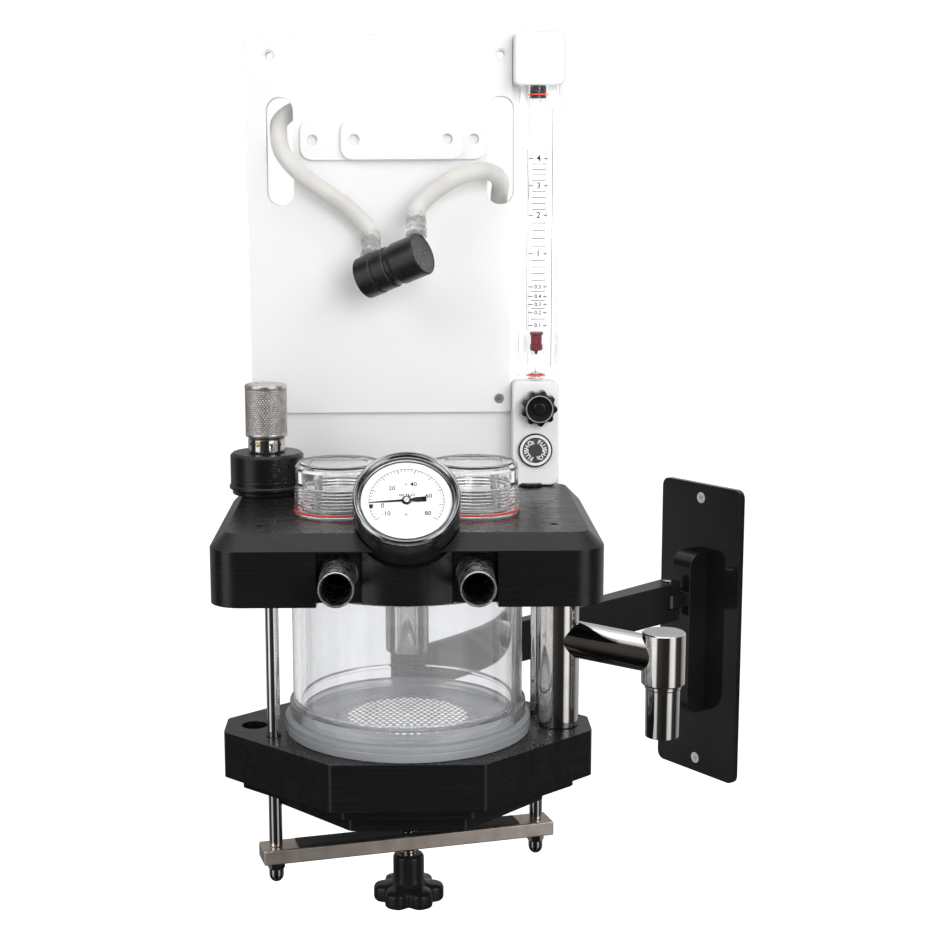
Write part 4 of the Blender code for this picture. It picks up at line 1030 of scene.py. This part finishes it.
def make_pop_off_valve():
    base = HEAD_TOP + GAP
    body = [
        (13.2, 173.7), (13.8, 173.9), (23.6, 173.9), (25.5, 172.2), (25.5, 156.4), (25.3, 156.1),
        (25.3, 155.7), (25.5, 155.4), (25.5, 151.8), (26.4, 150.9), (26.4, 149.2), (24.4, 148.2),
        (24.3, base), (9.5, base), (9.5, 171), (10.5, 173.7),
    ]
    piece("apl_body_turned", turned(body, APL, 128, True, radius=0.5), "machined", "apl_body")
    collar = [(12, 184), (12.9, 183.2), (12.9, 175), (12.3, 174), (4.3, 174), (4.3, 184)]
    bm = turned(collar, APL, 96, True, radius=0.3)
    holes = bmesh.new()
    for degrees in (-40, 215, 90):
        ray = compass(degrees)
        drill = Matrix.Translation(APL_AT + Z * 180.4 + ray * 10.5) @ facing(ray)
        lathe(holes, [(0, 4), (1.1, 4), (1.1, 0), (0, 0)], drill, 24)
    piece("apl_collar_turned", carve(bm, holes), "chrome", "apl_collar")
    ray = compass(-115)
    seat = Matrix.Translation(APL_AT + Z * 180.6 + ray * 12.2) @ facing(ray)
    bm = turned([(0, 1.5), (1.1, 1.5), (1.7, 0.9), (1.7, 0.2), (0, 0.2)], seat, 32, radius=0.3)
    piece("apl_collar_screw", bm, "brass")
    stem = [(0, 207), (3.4, 207), (4, 206), (4, 152), (8.6, 152), (8.6, 149.5), (0, 149.5)]
    piece("apl_stem_turned", turned(stem, APL, 48), "steel", "apl_stem", body="pop_off_plunger")

    side = [(KNOB_RADIUS, 220.3)]
    rows = 110
    side += [(KNOB_RADIUS, 219.2 - (219.2 - 186.4) * i / rows) for i in range(rows + 1)]
    lower = [
        (KNOB_RADIUS, 185.8), (KNOB_RADIUS - 0.4, 185.1), (KNOB_RADIUS - 1.2, 184.7), (4.3, 184.6),
        (4.3, 207.4), (0, 207.4),
    ]
    top = [(0, 220.7), (9.5, 220.7), (10.2, 221.1), (12.4, 221.5), (13.3, 221.45), (14.1, 221.1)]
    bm = lathe(bmesh.new(), top + side + lower, APL, 276, False, knurl)
    piece("apl_knob_knurled", bm, "knurled", "apl_knob", body="pop_off_handle", sharp=60)


# ---- canister, plates, rods, clamp

ROD_X, ROD_Y = 88, 24  # one rod at each end of the crossbar
SCREEN_RADIUS = 47.5
SCREEN_TOP = 7
FROST_TOP = 11.1
BUMP_PITCH = 4.6
BUMP_ROW = 4.4
BUMP_RADIUS = 1.65
BUMP_HEIGHT = 1
BUMP_REGION = 41


def dish_height(r):
    return SCREEN_TOP - (r / SCREEN_RADIUS) ** 2


def screen_height(x, y):
    """The pressed screen's height: a shallow dish with rows of round bumps."""
    r = hypot(x, y)
    dish = dish_height(r)
    if r > BUMP_REGION:
        return dish
    row = y / BUMP_ROW
    best = 9
    for j in (floor(row), floor(row) + 1):
        offset = BUMP_PITCH * 0.5 * (j % 2)
        i = round((x - offset) / BUMP_PITCH)
        best = min(best, hypot(x - offset - i * BUMP_PITCH, y - j * BUMP_ROW))
    fade = min(1, (BUMP_REGION - r) / 1.5)
    return dish + fade * BUMP_HEIGHT * sqrt(max(0, 1 - (best / BUMP_RADIUS) ** 2))


def make_screen():
    """A dense disc of rings, raised into bumps, with a flat underside."""
    bm = bmesh.new()
    rings, around = 110, 480
    tops = []
    for i in range(rings + 1):
        r = SCREEN_RADIUS * i / rings
        if i == 0:
            tops.append([bm.verts.new((0, 0, screen_height(0, 0)))])
            continue
        ring = []
        for k in range(around):
            a = tau * k / around
            x, y = r * cos(a), r * sin(a)
            ring.append(bm.verts.new((x, y, screen_height(x, y))))
        tops.append(ring)
    for a, b in zip(tops, tops[1:]):
        skin(bm, a, b)
    under = [bm.verts.new((v.co.x, v.co.y, 4.8)) for v in tops[-1]]
    skin(bm, tops[-1], under)
    bm.faces.new(under)
    made = piece("granule_screen_pressed", bm, "screen", "granule_screen", body="absorber", sharp=75)
    # Faces on the bump tops take the glowing near-white steel, a painted highlight on each bump
    made.data.materials.append(FINISHES["dot_painted_highlight"][0])
    back = MACHINE.inverted()
    for face in made.data.polygons:
        spot = back @ face.center
        if spot.z > dish_height(hypot(spot.x, spot.y)) + 0.3:
            face.material_index = 1


def make_absorber():
    inside, outside = 71.2, 76.2
    profile = [
        (inside, HEAD_LOW), (outside, HEAD_LOW), (outside, 21.4), (77.4, 20), (78.6, 19.3), (78.6, 11.2),
        (80.6, 10.4), (81.7, 9.2), (81.7, 6.6), (81.4, 6.2), (81.4, 5.8), (81.7, 5.4), (81.7, GAP),
        (49.5, GAP), (49.5, 3), (47.8, 3), (47.8, 6), (inside, 6), (inside, 19), (70.4, 19.6),
        (70.4, 21), (inside, 21.6),
    ]
    bm = turned(profile, None, 144, True, radius=0.5)
    made = piece("canister_tube", bm, "canister", "canister", body="absorber")
    made.data.materials.append(FINISHES["frosted"][0])
    ledge = (MACHINE @ Vector((0, 0, FROST_TOP))).z
    for face in made.data.polygons:
        if face.center.z < ledge:
            face.material_index = 1
    make_screen()
    for part in ("lower_plate", "pressure_plate_upper", "pressure_plate_lower"):
        refined(part, "machined", 0.7)


def make_rods():
    for part, side in (("rod_front_left", -1), ("rod_back_right", 1)):
        spot = shift(side * ROD_X, side * ROD_Y, 0)
        rod = [(0, HEAD_LOW), (4.4, HEAD_LOW), (4.4, -75.2), (3.2, -75.2), (3.2, -91.5), (0, -91.5)]
        piece(f"{part}_turned", turned(rod, spot, 64, radius=0.2), "chrome", part)
    for part, side in (("acorn_nut_left", -1), ("acorn_nut_right", 1)):
        spot = shift(side * ROD_X, side * ROD_Y, -85.8)
        bm = prism(bmesh.new(), hexagon(5.8), -5.6, 0, spot)
        cone = [(0, 1), (5, 1), (5.9, -0.6), (5.9, -4.6), (4.9, -5.7), (4.9, -6.5), (0, -6.5)]
        bm = carve(bm, turned(cone, spot, 64, radius=0.1), "INTERSECT")
        dome = [(0, -4.8), (4.9, -4.8), (4.9, -9.4)]
        turns = [radians(degrees) for degrees in range(12, 85, 12)]
        dome += [(4.9 * cos(a), -9.4 - 5.4 * sin(a)) for a in turns]
        dome += [(0, -14.8)]
        bm = carve(bm, lathe(bmesh.new(), dome, spot, 64), "UNION")
        bm = carve(bm, lathe(bmesh.new(), [(0, 2), (3.5, 2), (3.5, -6.4), (0, -6.4)], spot, 32))
        piece(f"{part}_polished", bm, "chrome", part, edge=0.15, segments=2)

    refined("crossbar", "bar_steel", 0.9)
    along = Matrix.Rotation(atan2(ROD_Y, ROD_X), 4, "Z")
    strip = block(bmesh.new(), (-77, -7.6, -75.45), (77, 7.6, -74.6), along)
    hole = lathe(bmesh.new(), [(0, -70), (6.2, -70), (6.2, -80), (0, -80)], None, 48)
    piece("crossbar_pad", carve(strip, hole), "rubber", edge=0.35)


THREAD_PITCH = 2


def thread(angle, radius, z):
    if radius < 4.5:
        return radius
    turn = (z / THREAD_PITCH - angle / tau) % 1
    return radius - 0.55 * abs(2 * turn - 1)


def star(angle, radius, z):
    """Six rounded lobes that fade out towards the hub."""
    share = max(0, min(1, (radius - 11) / 7))
    valley = (0.5 - 0.5 * cos(6 * angle)) ** 2.2
    return radius + share * (2.8 - 5.4 * valley)


def make_clamp():
    low = -49.8
    pad = [
        (0, low), (13, low), (14, low - 1), (14, low - 7), (9, low - 13), (5.4, low - 13),
        (5.4, low - 4), (0, low - 4),
    ]
    piece("clamp_pad_turned", turned(pad, None, 64, radius=0.5), "steel", "clamp_pad", body="clamp_foot")
    top, bottom = -54.1, -116
    rows = 240
    rod = [(0, top), (3.6, top), (4.4, top - 0.8)]
    rod += [(5, top - 1.2 - (top - 1.2 - bottom) * i / rows) for i in range(rows + 1)]
    rod += [(0, bottom)]
    bm = lathe(bmesh.new(), rod, None, 32, False, thread)
    piece("clamp_screw_threaded", bm, "bright_steel", "clamp_screw", body="clamp_handle", sharp=50)
    hub = [
        (5.3, -91), (8.6, -91), (9.9, -91.7), (10.5, -93.2), (10.5, -106), (10.9, -109.5),
        (12.4, -111.6), (15.5, -112.2), (18, -112.6), (19.6, -113.2), (20.6, -114.2), (21, -115.6),
        (21, -120.8), (20.6, -122.4), (19.4, -123.5), (17.6, -124), (6, -124), (0, -124),
    ]
    inner = [(0, -116.3), (5.3, -116.3)]
    bm = lathe(bmesh.new(), inner + soft(hub, 0.8, False, 4), None, 144, False, star)
    piece("clamp_knob_moulded", bm, "moulded", "clamp_knob", body="clamp_handle", sharp=45)


def make_bag_mount():
    column = [(13.4, HEAD_LOW), (13.4, GAP), (11.4, GAP), (11.4, HEAD_LOW)]
    at = shift(100.8, 0, 0)
    piece("bag_column_tube", turned(column, at, 96, True, radius=0.5), "chrome", "bag_column")
    start, end = Vector((100.8, 0, 60.5)), Vector((167.5, -20, 51.5))
    along = (end - start).normalized()
    reach = (end - start).length
    bm = lathe(
        bmesh.new(), [(12.2, 0), (12.2, reach), (10.2, reach), (10.2, 0)],
        Matrix.Translation(start) @ facing(along), 96, True,
    )
    bm = carve(bm, lathe(bmesh.new(), [(0, 120), (13.3, 120), (13.3, 0), (0, 0)], at, 96))
    bm = carve(
        bm, lathe(bmesh.new(), [(0, 90), (14.2, 90), (14.2, 10), (0, 10)], shift(end.x, end.y, 0), 96),
    )
    piece("bag_arm_tube", bm, "chrome_side", "bag_arm", sharp=40)
    port = [
        (0, 68), (13.5, 68), (14.3, 67.2), (14.3, 33.8), (13.3, 32.8), (11.9, 32.8), (11.9, 30.4),
        (11.3, 29.8), (11, -2.5), (9, -2.5), (9, 62), (0, 62),
    ]
    piece("bag_port_tube", turned(port, shift(end.x, end.y, 0), 96, radius=0.35), "chrome", "bag_port")


# ---- panel and flowmeter


def make_panel():
    edges = {"back_panel": 0.7, "upper_panel": 0.8, "vaporizer_bar": 0.9, "vaporizer_rail": 0.9}
    edges |= {"flowmeter_top_block": 1.6, "valve_block": 1.6}
    for part, edge in edges.items():
        refined(part, "white", edge)
    low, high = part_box("flowmeter_top_block")
    centre = MACHINE.inverted() @ Vector(((low.x + high.x) / 2, low.y, (low.z + high.z) / 2))
    bm = bmesh.new()
    lettering(bm, "O", 24, shift(centre.x - 5, centre.y, centre.z + 5) @ UPRIGHT, 0.7, 0.5)
    lettering(bm, "2", 13, shift(centre.x + 9, centre.y, centre.z - 4.5) @ UPRIGHT, 0.7, 0.3)
    piece("top_block_lettering", bm, "white")
    bm = bmesh.new()
    for x in (66.5, -93.6):
        at = shift(x, 115.6, 205.3) @ FORWARD
        head = [(0, 2), (3.4, 2), (4.6, 1.4), (5, 0.6), (2.3, -2.2), (2.3, -6), (0, -6)]
        shank = turned(head, None, 48, radius=0.4)
        shank = carve(shank, prism(bmesh.new(), hexagon(1.9), 0.4, 4))
        bmesh.ops.transform(shank, matrix=at, verts=shank.verts)
        kept = meshed("kept", shank)
        bm.from_mesh(kept)
        bpy.data.meshes.remove(kept)
    piece("panel_screws", bm, "satin_steel")


METER_AXIS = shift(92, 104.5, 0)
SCALE_HEIGHTS = (  # the flowmeter's digits, top to bottom
    ("4", 373.6), ("3", 355.2), ("2", 335.1), ("1", 308.8), ("0.5", 286), ("0.4", 279.3),
    ("0.3", 273.8), ("0.2", 268.1), ("0.1", 259.2),
)


def make_meter_scale():
    bm = bmesh.new()
    front = 92 - GAP / 2
    heights = [z for text, z in SCALE_HEIGHTS]
    x = 92
    for text, z in SCALE_HEIGHTS:
        at = shift(x, front, z) @ UPRIGHT
        lettering(bm, text, 6 if len(text) == 1 else 3.9, at, weight=0.1)
        for side in (-1, 1):
            edges = sorted((x + side * 3.6, x + side * 6.6))
            block(bm, (edges[0], front - 0.02, z - 0.34), (edges[1], front + 0.02, z + 0.34))
    for upper, lower, parts in zip(heights, heights[1:], (5, 5, 5, 5, 2, 2, 2, 2)):
        for i in range(1, parts):
            z = upper + (lower - upper) * i / parts
            block(bm, (x - 4.6, front - 0.02, z - 0.26), (x + 4.6, front + 0.02, z + 0.26))
    block(bm, (x - 8, front - 0.02, 256), (x - 7.7, front + 0.02, 380))
    block(bm, (x + 9.2, front - 0.02, 230), (x + 9.7, front + 0.02, 408))
    piece("flowmeter_scale", bm, "print")


def make_flowmeter():
    refined("flowmeter_body", "clear", 0.5)
    make_meter_scale()
    bm = bmesh.new()
    for z in (416.9, 223.6):
        lathe(bm, bead(6.6, z, 0.6, 0.6), METER_AXIS, 48, True)
    piece("flowmeter_seals", bm, "seal")
    stop = [
        (0, 422.4), (6.8, 422.4), (6.8, 418.2), (6.2, 417.9), (6.2, 416), (6.8, 415.7), (6.8, 414.4),
        (0, 414.4),
    ]
    bm = turned(stop, METER_AXIS, 48, radius=0.3)
    piece("flowmeter_plug", bm, "satin_black")
    bm = turned(
        [(0, 414.3), (3.4, 414.3), (3.4, 405.5), (2.6, 404.7), (0, 404.7)], METER_AXIS, 48, radius=0.3,
    )
    piece("flowmeter_plug_tip", bm, "clear_cap")
    bm = bmesh.new()
    foot = [(0, 229.6), (0.9, 229.6), (1.1, 226), (4.4, 225.4), (4.4, 222.3), (0, 222.3)]
    lathe(bm, soft(foot, 0.3), METER_AXIS, 48)
    piece("flowmeter_stops", bm, "bright_steel")
    low = 231
    shape = [
        (0, low + 23), (5.2, low + 23), (5.7, low + 22.4), (5.7, low + 21), (4.8, low + 20.4),
        (4.6, low + 14.6), (5.3, low + 14), (5.3, low + 10.6), (4.8, low + 9.8), (1.5, low + 9.2),
        (1, low + 7), (0, low + 7),
    ]
    piece(
        "flowmeter_float_turned", turned(shape, METER_AXIS, 64, radius=0.4), "float",
        "flowmeter_float", body="float",
    )
    bm = turned([(0, low + 6.9), (0.7, low + 6.9), (0.7, low), (0, low)], METER_AXIS, 32, radius=0.2)
    piece("flowmeter_float_stem", bm, "clear_cap", body="float")

    knob_at = shift(93, 0, 201.8)
    knob_front = knob_at @ shift(0, 93.5, 0) @ FORWARD
    stem = [(0, 28), (3, 28), (3, 8), (1, 1), (0, 1)]
    bm = turned(stem, knob_at @ shift(0, 111, 0) @ FORWARD, 48, radius=0.2)
    piece("needle_stem_turned", bm, "brass", "needle_stem", body="needle")

    def lobes(angle, radius, z):
        share = max(0, min(1, (radius - 10.2) / 1))
        wave = cos(9 * angle + 0.6)
        return radius + share * 0.9 * (1.45 * wave - 0.45 * wave**3)

    grip = [
        (3.3, 12), (3.3, 0), (10.9, 0), (11.7, 0.9), (11.9, 2.4), (11.9, 9.6), (11.5, 11.2),
        (10.6, 12.2), (9.9, 12.6), (9.7, 13.6), (9.2, 14), (8.7, 13.7), (8.2, 12.6), (7.4, 11.9),
        (4.6, 11.5), (4.2, 12.6), (3.4, 13), (0, 13),
    ]
    bm = lathe(bmesh.new(), [(0, 12), *soft(grip, 0.35)], knob_front, 144, False, lobes)
    piece("flow_knob_moulded", bm, "moulded", "flow_knob", body="flow_handle", sharp=45)

    # A thin satin steel ring round the knob's rim stands in for its glossy edge highlight: a painted
    # highlight
    bm = lathe(bmesh.new(), bead(9.15, 13.9, 0.4, 0.4), knob_front, 96, True)
    piece("flow_knob_highlight_ring", bm, "satin_steel", body="flow_handle")

    at = shift(91.2, 95, 171) @ FORWARD
    sleeve = [
        (12, 2.8), (12, 0.3), (10.4, 0.3), (10.4, -8), (9.9, -8), (9.9, 2), (11.1, 2), (11.2, 3.1),
        (11.7, 3.3),
    ]
    piece("flush_bezel_outer", turned(sleeve, at, 96, True, radius=0.25), "moulded", "flush_bezel")
    inner = [
        (9.1, 2.9), (9.1, -3.8), (9.8, -3.8), (9.8, 2.1), (11, 2.1), (11, 2.9), (10.6, 3.2), (9.5, 3.2),
    ]
    piece("flush_bezel_inner", turned(inner, at, 96, True, radius=0.15), "white")
    button = [(0, 2.4), (8, 2.4), (8.7, 2.2), (8.8, 1.9), (8.8, -4), (0, -4)]
    bm = turned(button, at, 96, radius=0.35)
    piece("flush_button_moulded", bm, "button", "flush_button", body="flush")
    bm = bmesh.new()
    words = [("F", 66), ("L", 45), ("U", 24), ("S", 3), ("H", -19), ("O", -53), ("2", -72)]
    for letter, degrees in words + [(letter, degrees + 180) for letter, degrees in words]:
        size = 2.9 if letter == "2" else 4.2
        lettering(
            bm, letter, size,
            at @ turn_z(degrees - 90) @ shift(0, 5.6 if letter == "2" else 6.3, 2.42), weight=0.16,
        )
    piece("flush_button_words", bm, "letter_white", body="flush")


# ---- everything together


def main():
    make_camera()
    make_finishes()
    for make in (
        make_hoses, make_connector, make_elbows, make_wall_mount, make_swing_arm, make_head,
        make_check_valves, make_gauge, make_pop_off_valve, make_absorber, make_rods, make_clamp,
        make_bag_mount, make_panel, make_flowmeter, make_world, make_lights, make_stage,
    ):
        make()


main()
